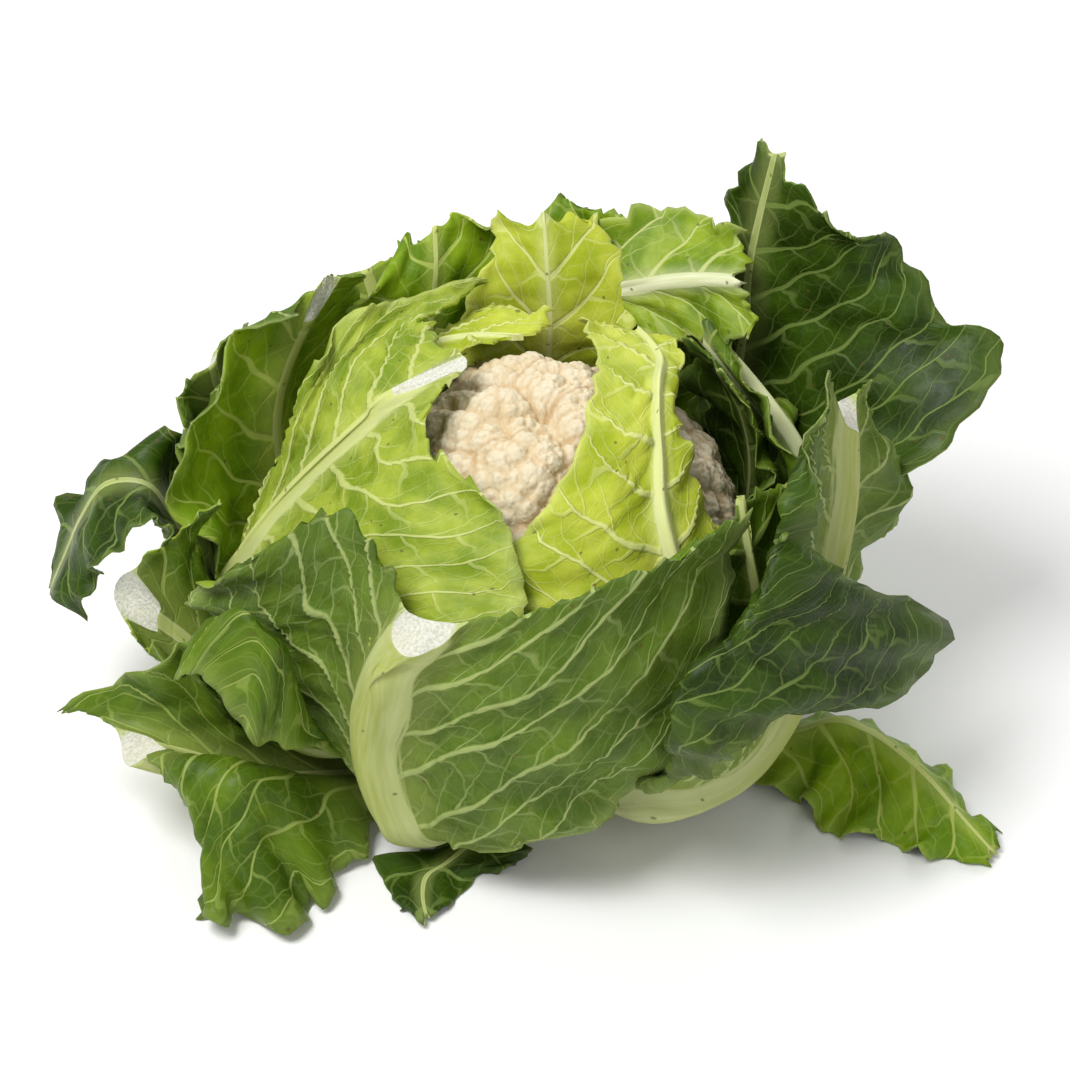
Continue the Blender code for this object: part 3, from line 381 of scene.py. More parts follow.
               ((108, 130, 96), (126, 126, 92), (146, 122, 100)),
               ((116, 134, 116), (126, 130, 114), (138, 127, 118)))),
    dict(name="leaf_low_left", ring=0, at=-52, foot=(-53, 58, 9), rib=(15, 15, 16), deep=(8, 8, 9),
         belly=2, waves=5, ruffle=3.0, teeth=6, seed=43, cells=(13, 3, 5), colour="outer", cut=True,
         rows=(((-70, 96, 34), (-66, 93, 24), (-58, 90, 17), (-51, 96, 28),
                (-45, 102, 18), (-40, 104, 4)),
               ((-67, 116, 66), (-65, 113, 44), (-60, 110, 26), (-51, 116, 46),
                (-45, 124, 24), (-39, 122, 4)),
               ((-66, 130, 74), (-68, 131, 52), (-63, 128, 36), (-56, 132, 49),
                (-48, 140, 24), (-43, 141, 4)),
               ((-77, 167, 38), (-73, 155, 44), (-66, 146, 44), (-60, 143, 42),
                (-53, 136, 24), (-49, 152, 5)))),
    dict(name="leaf_low_front", ring=0, at=-13, foot=(-15, 56, 5.5), rib=(9, 7, 3),
         deep=(6, 2.5, 1.5),
         belly=0, waves=4, ruffle=0.6, teeth=4, seed=45, cells=(9, 2, 3), colour="dark", cut=False,
         rows=(((-27, 76, 2.5), (-20, 76, 3.5), (-2, 70, 3)),
               ((-32, 92, 2.5), (-24, 91, 3.5), (-14, 80, 3)),
               ((-25, 105, 2), (-20, 105, 3), (-17, 99, 2.5)))),
    dict(name="leaf_low_right", ring=0, at=76, foot=(76, 60, 7), rib=(12, 9, 3), deep=(8, 5, 1),
         belly=2, waves=5, ruffle=2.5, teeth=5, seed=47, cells=(11, 3, 3), colour="mid", cut=False,
         rows=(((66, 88, 4), (76, 88, 12), (86, 88, 5)),
               ((62, 108, 3), (76, 110, 24), (88, 110, 5)),
               ((61, 126, 3), (71, 136, 21), (80, 136, 5)),
               ((62, 148, 3), (68, 154, 11), (74, 152, 4)),
               ((63, 162, 3), (66, 168, 4), (70, 165, 3)))),
)
print("leaves:", len(LEAVES))

# %% [markdown]
# ## From a net to a sheet
#
# A leaf grows from its rib, so its sheet is measured from the rib too: even steps along the rib,
# and from the rib out to each margin. Knowing how far every point is from the rib lets the same
# numbers place the rib's thickness, the side veins and the ragged margin later.

# %% From a leaf's rows to its net
STALK_RADIUS = 29.0
GAP = 0.35                  # between pieces that touch, mm
RINGS = (10.5, 20.5, 30.5, 39.5)    # heights at which the leaves join the stalk
WING = 3.0                  # blade on each side of a petiole, mm


def net_of(leaf):
    """A leaf's control net: its petiole from the stalk, then its rows from base to tip."""
    ring = RINGS[leaf["ring"]]
    half = leaf["rib"][0] / 2
    spine, last = leaf["spine"], leaf["columns"] - 1
    net = []
    start = (leaf["at"], STALK_RADIUS + GAP, ring)
    for (bearing, radius, height), wing in ((start, 0), (leaf["foot"], WING)):
        spread = math.degrees((half + wing) / radius)
        offsets = np.interp(range(last + 1), (0, spine, last), (-spread, 0, spread))
        net.append([place((bearing + o, radius, height)) for o in offsets])
    for row in leaf["rows"]:
        if len(row) == 3:
            first, rib, last = row
            belly = leaf["belly"]
            row = (first, middle(first, rib, belly), rib, middle(rib, last, belly), last)
        net.append([place(point) for point in row])
    return np.array(net)


print("leaves join the stalk at heights of", RINGS, "mm")

# %% [markdown]
# The net is then smoothed, and read again at even steps. The rib keeps columns of its own, and
# the other columns share out what is left of each side.

# %% Sheets
CURVE_STEPS = 8             # points of a smooth curve between two given ones
RIB_AT = (0, 0.35, 1)       # where along a leaf its rib's three widths and depths hold
EDGE_SHARE = 0.68           # the rib takes up at most this share of one side of a leaf


def side_places(breaks, half, shares, cells):
    """Distances from the rib of one side's columns: the rib's own, then those of the blade."""
    width = breaks[-1]
    edge = min(half, EDGE_SHARE * width)
    ends = [edge]
    if len(breaks) > 2:
        step = (width - edge) / len(breaks)
        ends += [max(b, edge + step * (k + 1)) for k, b in enumerate(breaks[:-1])]
    ends.append(width)
    spans = len(ends) - 1
    counts = [cells // spans + (k < cells % spans) for k in range(spans)]
    places = [edge * share for share in shares]
    for start, end, count in zip(ends, ends[1:], counts):
        places += [start + (end - start) * k / count for k in range(1, count + 1)]
    return places


def sheet_of(leaf, cells_along, cells_first, cells_last, rib_cells):
    """Points of a leaf's blade, evenly spaced along its rib, and how far each is from the rib."""
    dense = flow(net_of(leaf), CURVE_STEPS)
    spine = leaf["spine"]
    run = lengths(dense[:, spine])
    stations = np.linspace(0, run[-1], cells_along + 1)
    rows = np.stack([[along(dense[:, c], np.interp(s, run, lengths(dense[:, c])))
                      for c in range(dense.shape[1])] for s in stations])
    shares = (1.0,) if rib_cells == 2 else (0.55, 1.0)
    sheet, reach = [], []
    for i, row in enumerate(rows):
        half = np.interp(i / cells_along, RIB_AT, leaf["rib"]) / 2
        curve = flow(row, CURVE_STEPS)
        rib_at = spine * CURVE_STEPS
        first_side, last_side = curve[:rib_at + 1][::-1], curve[rib_at:]
        points, distances = [curve[rib_at:rib_at + 1]], [0.0]
        for line, cells, sign in ((first_side, cells_first, -1), (last_side, cells_last, 1)):
            places = side_places(lengths(line)[CURVE_STEPS::CURVE_STEPS], half, shares, cells)
            found = along(line, np.array(places))
            points = [found[::-1]] + points if sign < 0 else points + [found]
            distances = [-d for d in places[::-1]] + distances if sign < 0 else distances + places
        sheet.append(np.concatenate(points))
        reach.append(distances)
    return np.array(sheet), np.array(reach)


print("leaves that end in a cut:", sum(leaf["cut"] for leaf in LEAVES))

# %% Waves and thickness
BLADE = 1.3                 # thickness of a leaf's blade, mm
RIB_INSIDE = 0.12           # share of a rib's depth that stands out on the inner side
FREE_FROM = 0.3             # where along a leaf its margins begin to wave
FREE_OVER = 0.2             # the length over which the waves grow, as a share of the leaf
TOOTH_MIDDLE = 0.35         # teeth stand this share of their size inside the margin


def outward(sheet):
    """Unit normals of a sheet, on the side that faces away from the curd."""
    du = np.gradient(sheet, axis=0)
    dv = np.gradient(sheet, axis=1)
    normal = np.cross(dv, du)
    return normal / np.linalg.norm(normal, axis=-1, keepdims=True)


def ruffle(leaf, sheet, reach):
    """Waves and teeth along a leaf's two margins and its tip."""
    rows, columns = reach.shape
    normal = outward(sheet)
    u = np.linspace(0, 1, rows)[:, None]
    v = np.abs(reach) / np.abs(reach).max(axis=1, keepdims=True)
    side = np.sign(reach)
    free = np.clip((u - FREE_FROM) / FREE_OVER, 0, 1)
    wave = np.sin(2 * math.pi * (leaf["waves"] * u + 0.31 * side) + leaf["seed"])
    sheet = sheet + normal * (leaf["ruffle"] * wave * free * v ** 2)[..., None]
    draw = np.random.default_rng(leaf["seed"])
    for column, inner in ((0, 1), (columns - 1, columns - 2)):
        tooth = leaf["teeth"] * (draw.random(rows) - TOOTH_MIDDLE) * free[:, 0]
        across = sheet[:, column] - sheet[:, inner]
        across /= np.linalg.norm(across, axis=1, keepdims=True)
        sheet[:, column] += across * tooth[:, None]
    if not leaf["cut"]:
        tooth = leaf["teeth"] * (draw.random(columns) - TOOTH_MIDDLE)
        ahead = sheet[-1] - sheet[-2]
        sheet[-1] += ahead * (tooth / np.linalg.norm(ahead, axis=1))[:, None]
    return sheet


def thickness(leaf, reach):
    """How far a leaf's two faces stand from its sheet, on the inner and the outer side."""
    u = np.linspace(0, 1, len(reach))[:, None]
    half = np.interp(u, RIB_AT, leaf["rib"]) / 2
    deep = np.interp(u, RIB_AT, leaf["deep"])
    rib = deep * np.sqrt(np.clip(1 - (reach / half) ** 2, 0, 1))
    return BLADE / 2 + RIB_INSIDE * rib, BLADE / 2 + (1 - RIB_INSIDE) * rib


print("blade:", BLADE, "mm, deepest rib:", max(leaf["deep"][0] for leaf in LEAVES), "mm")

# %% [markdown]
# ## Leaves that lie on each other
#
# Real leaves press on the ones inside them. A cloth simulation could settle them, but it would
# also change their folds. Instead each sheet is pushed off the curd and off the leaves before
# it, a little at a time, and smoothed where it would run through itself. The solids were made
# by these same steps, so the fine leaves land where the solids are.

# %% A leaf as a closed solid
def corners(i, j, columns):
    """The four corner points of one cell of a sheet, by their place in the list of points."""
    a = i * columns + j
    return a, a + 1, a + columns + 1, a + columns


def mesh_arrays(sheet, inner, outer):
    """Vertices and faces of the closed solid between a sheet's two faces."""
    rows, columns = inner.shape
    normal = outward(sheet)
    normal[0] = (0, 0, -1)
    faces_in = sheet - normal * inner[..., None]
    faces_out = sheet + normal * outer[..., None]
    points = np.concatenate([faces_in.reshape(-1, 3), faces_out.reshape(-1, 3)])
    half = rows * columns
    faces = []
    for i in range(rows - 1):
        for j in range(columns - 1):
            a, b, c, d = corners(i, j, columns)
            faces += [(a, c, b), (a, d, c)]
            faces += [(half + a, half + b, half + c), (half + a, half + c, half + d)]
    rim = list(range(columns))
    rim += [i * columns + columns - 1 for i in range(1, rows)]
    rim += [(rows - 1) * columns + j for j in range(columns - 2, -1, -1)]
    rim += [i * columns for i in range(rows - 2, 0, -1)]
    for a, b in zip(rim, rim[1:] + rim[:1]):
        faces += [(half + b, half + a, a), (half + b, a, b)]
    return points, faces


def tree_of(points, faces):
    return BVHTree.FromPolygons([tuple(p) for p in points], faces, all_triangles=True)


print("most cells in one leaf:", max(leaf["cells"][0] * sum(leaf["cells"][1:]) for leaf in LEAVES))

# %% Pushing a leaf off the ones inside it
FLOOR_GAP = 0.3             # under the lowest leaves, mm
PUSH_ROUNDS = 12            # how often a leaf is pushed off the ones inside it
PUSH_REACH = 14.0           # how far a leaf is looked for when another is laid over it, mm
PUSH_SPARE = 0.3            # added to the gap for the parts between a sheet's points, mm
PUSH_ENOUGH = 0.05          # pushes shorter than this aren't worth another round, mm
BESIDE_FROM = 0.5           # a leaf further away than this may be beside the point, mm
BESIDE = 0.6                # it is, if it faces the point with less than this share of the way
PUSH_OWN = 0.6              # share of a point's own push, and the rest is its neighbours'


def lay_over(sheet, inner, placed):
    """Pushes a sheet outwards where it comes too close to the leaves laid before it."""
    rows, columns = inner.shape
    for _ in range(PUSH_ROUNDS):
        push = np.zeros_like(sheet)
        for other in placed:
            for i in range(2, rows):
                for j in range(columns):
                    point = tuple(sheet[i, j])
                    hit, normal, face, distance = other["tree"].find_nearest(point, PUSH_REACH)
                    if hit is None:
                        continue
                    normal = np.array(normal)
                    offset = sheet[i, j] - np.array(hit)
                    height = float(offset @ normal)
                    if distance > BESIDE_FROM and abs(height) < BESIDE * distance:
                        continue
                    short = other["outer"][face // 2] + inner[i, j] + GAP + PUSH_SPARE - height
                    if short > 0 and short > np.linalg.norm(push[i, j]):
                        push[i, j] = normal * short
        if np.abs(push).max() < PUSH_ENOUGH:
            break
        soft = push.copy()
        for _ in range(2):
            wide = np.pad(soft, ((1, 1), (1, 1), (0, 0)), mode="edge")
            beside = wide[:-2, 1:-1] + wide[2:, 1:-1] + wide[1:-1, :-2] + wide[1:-1, 2:]
            soft = (beside + 2 * soft) / 6
        soft[0] = 0
        soft[1] *= 0.3
        weight = np.linalg.norm(push, axis=-1, keepdims=True) > 0
        sheet = sheet + np.where(weight, PUSH_OWN * push + (1 - PUSH_OWN) * soft, soft)
    return sheet


print("gap between leaves:", GAP, "mm")

# %% Smoothing a leaf where it crosses itself
LOOSEN_ROUNDS = 40          # how often a sheet is smoothed where its solid crosses itself


def loosen(sheet, inner, outer):
    """Smooths a sheet round the places where its solid would cross itself."""
    rows, columns = inner.shape
    for _ in range(LOOSEN_ROUNDS):
        points, faces = mesh_arrays(sheet, inner, outer)
        tree = tree_of(points, faces)
        bad = [a for a, b in tree.overlap(tree) if not set(faces[a]) & set(faces[b])]
        if not bad:
            break
        near = np.zeros(rows * columns)
        near[[v % (rows * columns) for a in bad for v in faces[a]]] = 1
        wide = np.pad(near.reshape(rows, columns), 1)
        near = np.max([wide[i:i + rows, j:j + columns] for i in range(3) for j in range(3)], axis=0)
        near[:3] = 0
        wide = np.pad(sheet, ((1, 1), (1, 1), (0, 0)), mode="reflect", reflect_type="odd")
        soft = (wide[:-2, 1:-1] + wide[2:, 1:-1] + wide[1:-1, :-2] + wide[1:-1, 2:]) / 4
        sheet = sheet + 0.5 * near[..., None] * (soft - sheet)
    return sheet


print("rounds of smoothing, at most:", LOOSEN_ROUNDS)

# %% Laying the leaves
def record_sheet(sheet, outer):
    """A laid leaf as a search tree, with the outer thickness of each of its cells."""
    rows, columns = outer.shape
    faces, depth = [], []
    for i in range(rows - 1):
        for j in range(columns - 1):
            a, b, c, d = corners(i, j, columns)
            faces += [(a, b, c), (a, c, d)]
            depth.append(outer[i:i + 2, j:j + 2].max())
    return {"tree": tree_of(sheet.reshape(-1, 3), faces), "outer": depth}


def grow(leaf, placed):
    """A leaf's laid sheet, its distances from the rib, and the thickness of its two faces."""
    cells = leaf["cells"]
    leaf["columns"] = max(5, len(leaf["rows"][0]))
    leaf["spine"] = leaf.get("spine", 2)
    sheet, reach = sheet_of(leaf, *cells, leaf.get("rib_cells", 2))
    sheet = ruffle(leaf, sheet, reach)
    inner, outer = thickness(leaf, reach)
    sheet = lay_over(sheet, inner, placed)
    sheet[..., 2] = np.maximum(sheet[..., 2], outer + FLOOR_GAP)
    sheet = loosen(sheet, inner, outer)
    return sheet, reach, inner, outer


curd_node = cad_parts["curd"]
curd_points = [tuple(v.co / MM) for v in curd_node.data.vertices]
curd_faces = [tuple(f.vertices) for f in curd_node.data.polygons]
placed = [{"tree": tree_of(curd_points, curd_faces), "outer": [0.0] * len(curd_faces)}]
grown = {}
for leaf in LEAVES:
    sheet, reach, inner, outer = grow(leaf, placed)
    placed.append(record_sheet(sheet, outer))
    grown[leaf["name"]] = (sheet, reach)
print("laid leaves:", len(grown))

# %% [markdown]
# ## Fine leaves
#
# A cauliflower leaf has a thick fleshy rib, side veins that stand out underneath, a blade that
# swells between the veins, and a thin margin with small uneven teeth. All of it follows from
# two distances, along the rib and away from it, so it is worked out with arrays of numbers over
# a fine grid. Sculpting by hand would look as good but could not be repeated.

# %% Fine grid and waves
FINE_ALONG = 6              # fine cells for each coarse one, along the rib
FINE_ACROSS = 6             # and across it
VEIN_SPACING = 19.0         # between side veins, mm
VEIN_LEAN = 0.62            # how far a side vein runs on for each step out from the rib
VEIN_BEND = 0.35            # added to the lean at the margin
VEIN_SWAY = 0.22            # how far a side vein strays, as a share of the spacing


def finer(grid, along_by, across_by):
    """A grid of values drawn out smoothly to more rows and columns."""
    longer = flow(grid, along_by)
    return np.swapaxes(flow(np.swapaxes(longer, 0, 1), across_by), 0, 1)


def ripple(draw, a, b, sizes):
    """Smooth uneven waves over a and b in millimetres, one for each size, between -1 and 1."""
    total = np.zeros(np.broadcast(a, b).shape)
    for size in sizes:
        turn, start = draw.uniform(0, 2 * math.pi, 2)
        total += np.sin(2 * math.pi * (a * math.cos(turn) + b * math.sin(turn)) / size + start)
    return total / len(sizes)


def smooth_step(value, low, high):
    """0 below low, 1 above high, and a soft rise between."""
    t = np.clip((value - low) / (high - low), 0, 1)
    return t * t * (3 - 2 * t)


print("fine cells per coarse cell:", FINE_ALONG * FINE_ACROSS)

# %% The parts of a leaf, measured
def leaf_map(leaf, sheet, reach):
    """Where a fine sheet's points are: along the rib, out from it, and past which side vein."""
    rows, columns = reach.shape
    spine = int(np.argmin(np.abs(reach[rows // 2])))
    run = lengths(sheet[:, spine])
    a = np.repeat(run[:, None], columns, axis=1)
    side = np.where(np.arange(columns) < spine, -1.0, 1.0)[None, :]
    out = np.abs(reach)
    width = np.where(side < 0, out[:, :1], out[:, -1:])
    v = np.clip(out / np.maximum(width, 0.5), 0, 1)
    u = a / run[-1]
    draw = np.random.default_rng(leaf["seed"] + 100)
    sway = VEIN_SWAY * ripple(draw, a + 500 * side, out, (46, 31, 23)) * smooth_step(out, 3, 18)
    phase = (a - out * (VEIN_LEAN + VEIN_BEND * v)) / VEIN_SPACING + sway
    return {"a": a, "out": out, "side": side, "v": v, "u": u, "phase": phase, "draw": draw,
            "free": smooth_step(u, 0.16, 0.34), "half": np.interp(u, RIB_AT, leaf["rib"]) / 2,
            "deep": np.interp(u, RIB_AT, leaf["deep"])}


def vein_line(phase):
    """Distance from the nearest side vein, in millimetres."""
    return np.abs(phase - np.round(phase)) * VEIN_SPACING


longest = max(lengths(sheet.mean(axis=1))[-1] for sheet, reach in grown.values())
print("longest leaf:", round(longest), "mm, side veins on it:", round(longest / VEIN_SPACING))

# %% Swellings, frills and teeth
TOOTH = 0.55                # of the net's own figure for teeth
FRILL = 2.2                 # of the net's own figure for ruffles
SWELL = 1.3                 # how far the blade swells between side veins, mm
CRINKLE = 1.1               # how far it is crinkled besides, mm
CURL = 3.0                  # how far a free margin bends outwards, mm
FINE_BLADE = 0.42           # half the thickness of a fine blade, mm
MARGIN_THINNER = 0.2        # taken off it at the margin, mm


def crisp(leaf, sheet, m):
    """Swells and crinkles the blade, frills its margin and cuts small teeth in it."""
    normal = outward(sheet)
    across = np.gradient(sheet, axis=1)
    across /= np.linalg.norm(across, axis=-1, keepdims=True)
    draw, free, v, side = m["draw"], m["free"], m["v"], m["side"]
    blade = smooth_step(m["out"], 0.9 * m["half"], 1.5 * m["half"] + 3)
    lift = -SWELL * (np.abs(np.sin(math.pi * m["phase"])) ** 0.7 - 0.5) * blade
    lift += CRINKLE * ripple(draw, m["a"], m["out"] * side, (31, 19, 12, 8)) * blade
    lift += FRILL * leaf["ruffle"] * ripple(draw, m["a"], 40 * side, (23, 13, 17)) * v ** 3
    bend = 0.5 + ripple(draw, m["a"], 60 * side, (61, 37))
    lift += CURL * bend * v ** 4 * smooth_step(m["u"], 0.4, 0.8)
    large = ripple(draw, m["a"], 70 * side, (27, 15, 10))
    small = ripple(draw, m["a"], 9 * side, (6.1, 4.3, 2.9))
    tooth = TOOTH * leaf["teeth"] * (large + 0.55 * small)
    step = (tooth * smooth_step(v, 0.7, 1.0) * free * side)[..., None]
    sheet = sheet + normal * (lift * free)[..., None] + across * step
    out, half = m["out"][-1], m["half"][-1]
    tip = ripple(draw, out * side[0], 0 * out, (21, 11, 5.3, 3.1))
    clear = smooth_step(out, 1.1 * half, 1.6 * half + 2) if leaf["cut"] else 1
    ahead = sheet[-1] - sheet[-2]
    ahead /= np.linalg.norm(ahead, axis=1, keepdims=True)
    sheet[-1] += ahead * (1.6 * TOOTH * leaf["teeth"] * tip * clear)[:, None]
    return sheet


def fine_thickness(m):
    """How far the inner and the outer face stand from the fine sheet."""
    blade = FINE_BLADE - MARGIN_THINNER * smooth_step(m["v"], 0.9, 1.0) * m["free"]
    bulge = 0.5 + 0.5 * np.cos(math.pi * np.clip(m["out"] / (1.2 * m["half"]), 0, 1))
    rib = m["deep"] * bulge ** 0.8
    off_rib = smooth_step(m["out"], 0.9 * m["half"], 1.3 * m["half"] + 2)
    width = 2.0 - 1.2 * m["v"]
    ridge = np.exp(-(vein_line(m["phase"]) / width) ** 2) * off_rib * m["free"]
    ridge = ridge * (1.5 - 1.2 * m["v"])
    return blade + RIB_INSIDE * rib + 0.15 * ridge, blade + (1 - RIB_INSIDE) * rib + ridge


print("largest frill:", FRILL * max(leaf["ruffle"] for leaf in LEAVES), "mm")

# %% [markdown]
# ## One leaf as a mesh
#
# The leaf is a closed skin: an inner face, an outer face, and a narrow rim between them, so it
# looks right from behind and where the light comes through it. Where a knife cut it, the rim is
# as wide as the rib is thick and gets the white flesh's finish. Most cuts slant, so one face is
# shorter than the other. Maps go with the points, for the finishes: where a point is on the leaf,
# which side vein is nearest, how far it is from the rib and the margin, and how near the base.

# %% Cuts and faces
# How far one face is drawn back at the cut, in millimetres: below zero it is the inner one
SLANT = 8.0
SLANTS = {"leaf_inner_left": 26.0, "leaf_left": -16.0, "leaf_upper_left": -14.0,
          "leaf_low_left": -9.0}


def slant_cut(face, slant, m):
    """Draws back a face's last rows at a cut rib, so that the cut shows from that side."""
    back = face[:-1] - face[1:]
    back = np.concatenate([back, back[-1:]])
    back /= np.linalg.norm(back, axis=-1, keepdims=True)
    near_end = smooth_step(m["a"], m["a"][-1, 0] - 1.8 * slant, m["a"][-1, 0])
    on_rib = 1 - smooth_step(m["out"] / m["half"], 0.5, 1.1)
    return face + back * (slant * near_end * on_rib)[..., None]


def skin_faces(rows, columns):
    """Quads of the inner face, the outer face, the margins' rim and the end's rim."""
    half = rows * columns
    index = np.arange(half).reshape(rows, columns)
    a, b = index[:-1, :-1].ravel(), index[:-1, 1:].ravel()
    d, c = index[1:, :-1].ravel(), index[1:, 1:].ravel()
    inner = np.stack([a, d, c, b], -1)
    outer = np.stack([a, b, c, d], -1) + half
    first, last = index[:, 0], index[:, -1]
    rim = [np.stack([first[:-1], first[:-1] + half, first[1:] + half, first[1:]], -1),
           np.stack([last[1:], last[1:] + half, last[:-1] + half, last[:-1]], -1),
           np.stack([index[0, 1:], index[0, 1:] + half, index[0, :-1] + half, index[0, :-1]], -1)]
    end = index[-1]
    end = np.stack([end[:-1], end[:-1] + half, end[1:] + half, end[1:]], -1)
    return inner, outer, np.concatenate(rim), end


print("leaves with a slant of their own:", len(SLANTS))

# %% Maps on the mesh
MAP_UNIT = 10.0             # the leaf map counts in centimetres


def add_maps(mesh, m, reach):
    """Stores where each corner is on the leaf, its side vein, rib, margin and base."""
    corners = np.empty(len(mesh.loops), np.int32)
    mesh.loops.foreach_get("vertex_index", corners)
    corners %= reach.size
    rib = np.minimum(m["out"] / m["half"], 4)
    margin = smooth_step(m["v"], 0.9, 1.0)
    base = 1 - smooth_step(m["u"], 0.05, 0.55)
    maps = (("leaf", reach / MAP_UNIT, m["a"] / MAP_UNIT), ("vein", m["phase"], m["v"]),
            ("rib", rib, base), ("edge", margin, m["u"]))
    for name, across, along_leaf in maps:
        layer = mesh.uv_layers.new(name=name)
        values = np.stack([across.ravel()[corners], along_leaf.ravel()[corners]], -1)
        layer.data.foreach_set("uv", values.ravel().astype(np.float32))


print("one unit of the leaf map:", MAP_UNIT, "mm")

# %% [markdown]
# The mesh itself takes its faces in groups, and each group gets its finish and its shading: the
# two sides are smooth, and the rim and the cut are flat, so their corners stay sharp.

# %% Leaf mesh
FLESH_OVER = 1.15           # of half the rib's width, how far out a cut shows white flesh


def leaf_object(leaf):
    """The finished mesh of one leaf, with its maps."""
    sheet, reach = grown[leaf["name"]]
    grid = finer(np.concatenate([sheet, reach[..., None]], -1), FINE_ALONG, FINE_ACROSS)
    sheet, reach = grid[..., :3], grid[..., 3]
    m = leaf_map(leaf, sheet, reach)
    sheet = crisp(leaf, sheet, m)
    inner, outer = fine_thickness(m)
    sheet[..., 2] = np.maximum(sheet[..., 2], outer + FLOOR_GAP)
    normal = outward(sheet)
    inside = sheet - normal * inner[..., None]
    outside = sheet + normal * outer[..., None]
    slant = SLANTS.get(leaf["name"], SLANT)
    if leaf["cut"] and slant > 0:
        outside = slant_cut(outside, slant, m)
    if leaf["cut"] and slant < 0:
        inside = slant_cut(inside, -slant, m)
    points = np.concatenate([inside.reshape(-1, 3), outside.reshape(-1, 3)])
    points[:, 2] = np.maximum(points[:, 2], FLOOR_GAP / 2)
    groups = skin_faces(*reach.shape)
    mesh = bpy.data.meshes.new(leaf["name"] + "_fine")
    mesh.from_pydata((points * MM).tolist(), [], np.concatenate(groups).tolist())
    counts = [len(g) for g in groups]
    slots = np.repeat((1, 0, 0, 0), counts)
    ratio = m["out"][-1] / m["half"][-1]
    fleshy = (ratio[1:] + ratio[:-1]) / 2 < FLESH_OVER
    slots[-len(groups[3]):] = np.where(fleshy & leaf["cut"], 2, 0)
    mesh.polygons.foreach_set("material_index", slots.astype(np.int32))
    mesh.polygons.foreach_set("use_smooth", np.repeat((True, True, False, False), counts))
    add_maps(mesh, m, reach)
    return add_object(leaf["name"] + "_fine", mesh)


leaves = {leaf["name"]: leaf_object(leaf) for leaf in LEAVES}
print("leaf triangles:", sum(2 * len(o.data.polygons) for o in leaves.values()))

# %% [markdown]
# ## Shader helpers
#
# A finish is a small graph of nodes. These helpers add a node, set or link its inputs, and hand
# back the socket to use next, so that each finish reads like a recipe.

# %% Shader helpers
def feed(tree, socket, value):
    """Links a socket, or sets it where the value is a plain number or colour."""
    if isinstance(value, bpy.types.NodeSocket):
        tree.links.new(value, socket)
    else:
        socket.default_value = value


def maths(tree, operation, first, second=0.0, clamp=False):
    """One step of arithmetic."""
    made = tree.nodes.new("ShaderNodeMath")
    made.operation = operation
    made.use_clamp = clamp
    feed(tree, made.inputs[0], first)
    feed(tree, made.inputs[1], second)
    return made.outputs[0]


def step_up(tree, value, low, high, top=1.0):
    """0 below low, top above high, with a soft rise between."""
    made = tree.nodes.new("ShaderNodeMapRange")
    made.interpolation_type = "SMOOTHSTEP"
    feed(tree, made.inputs["Value"], value)
    feed(tree, made.inputs["From Min"], low)
    feed(tree, made.inputs["From Max"], high)
    made.inputs["To Max"].default_value = top
    return made.outputs["Result"]


def blend(tree, share, first, second):
    """Mixes two colours."""
    made = tree.nodes.new("ShaderNodeMix")
    made.data_type = "RGBA"
    feed(tree, made.inputs[0], share)
    feed(tree, made.inputs[6], first)
    feed(tree, made.inputs[7], second)
    return made.outputs[2]


def parts_of(tree, vector):
    """The X, Y and Z of a vector."""
    made = tree.nodes.new("ShaderNodeSeparateXYZ")
    tree.links.new(vector, made.inputs[0])
    return made.outputs


print("arithmetic and mixing: ready")

# %% [markdown]
# Two patterns give everything uneven on this plant: soft clouds of noise, and uneven cells for
# grains and nets. A bump turns a pattern into relief that only the light sees.

# %% Patterns and relief
def noise(tree, vector, scale, detail=2.0):
    """Soft clouds, from 0 to 1."""
    made = tree.nodes.new("ShaderNodeTexNoise")
    feed(tree, made.inputs["Vector"], vector)
    made.inputs["Scale"].default_value = scale
    made.inputs["Detail"].default_value = detail
    return made.outputs["Fac"]


def cells(tree, vector, scale, feature, flat=True):
    """Distance in a pattern of uneven cells."""
    made = tree.nodes.new("ShaderNodeTexVoronoi")
    made.feature = feature
    made.voronoi_dimensions = "2D" if flat else "3D"
    feed(tree, made.inputs["Vector"], vector)
    made.inputs["Scale"].default_value = scale
    return made.outputs["Distance"]


def add_bump(tree, height, strength, distance, invert=False):
    """Gives the material's shader a relief. Distance is in metres."""
    made = tree.nodes.new("ShaderNodeBump")
    made.invert = invert
    made.inputs["Strength"].default_value = strength
    made.inputs["Distance"].default_value = distance
    tree.links.new(height, made.inputs["Height"])
    shader = tree.nodes["Principled BSDF"]
    tree.links.new(made.outputs["Normal"], shader.inputs["Normal"])


print("patterns and relief: ready")

# %% [markdown]
# A group holds an effect that several finishes share. Colours are written as a screen shows
# them, because that is how people compare them, and are turned into the linear ones that
# shaders use.

# %% Groups and colours
def new_group(name, inputs, outputs):
    """An empty node group with named sockets. Each input is (name, kind, value)."""
    tree = bpy.data.node_groups.new(name, "ShaderNodeTree")
    for label, kind, value in inputs:
        socket = tree.interface.new_socket(label, in_out="INPUT", socket_type="NodeSocket" + kind)
        if value is not None:
            socket.default_value = value
    for label, kind in outputs:
        tree.interface.new_socket(label, in_out="OUTPUT", socket_type="NodeSocket" + kind)
    return tree, tree.nodes.new("NodeGroupInput").outputs, tree.nodes.new("NodeGroupOutput").inputs


def srgb(red, green, blue):
    """A colour as a screen shows it, from 0 to 255, turned into the linear one that shaders use."""
    parts = [c / 255 for c in (red, green, blue)]
    return (*[p / 12.92 if p <= 0.04045 else ((p + 0.055) / 1.055) ** 2.4 for p in parts], 1.0)


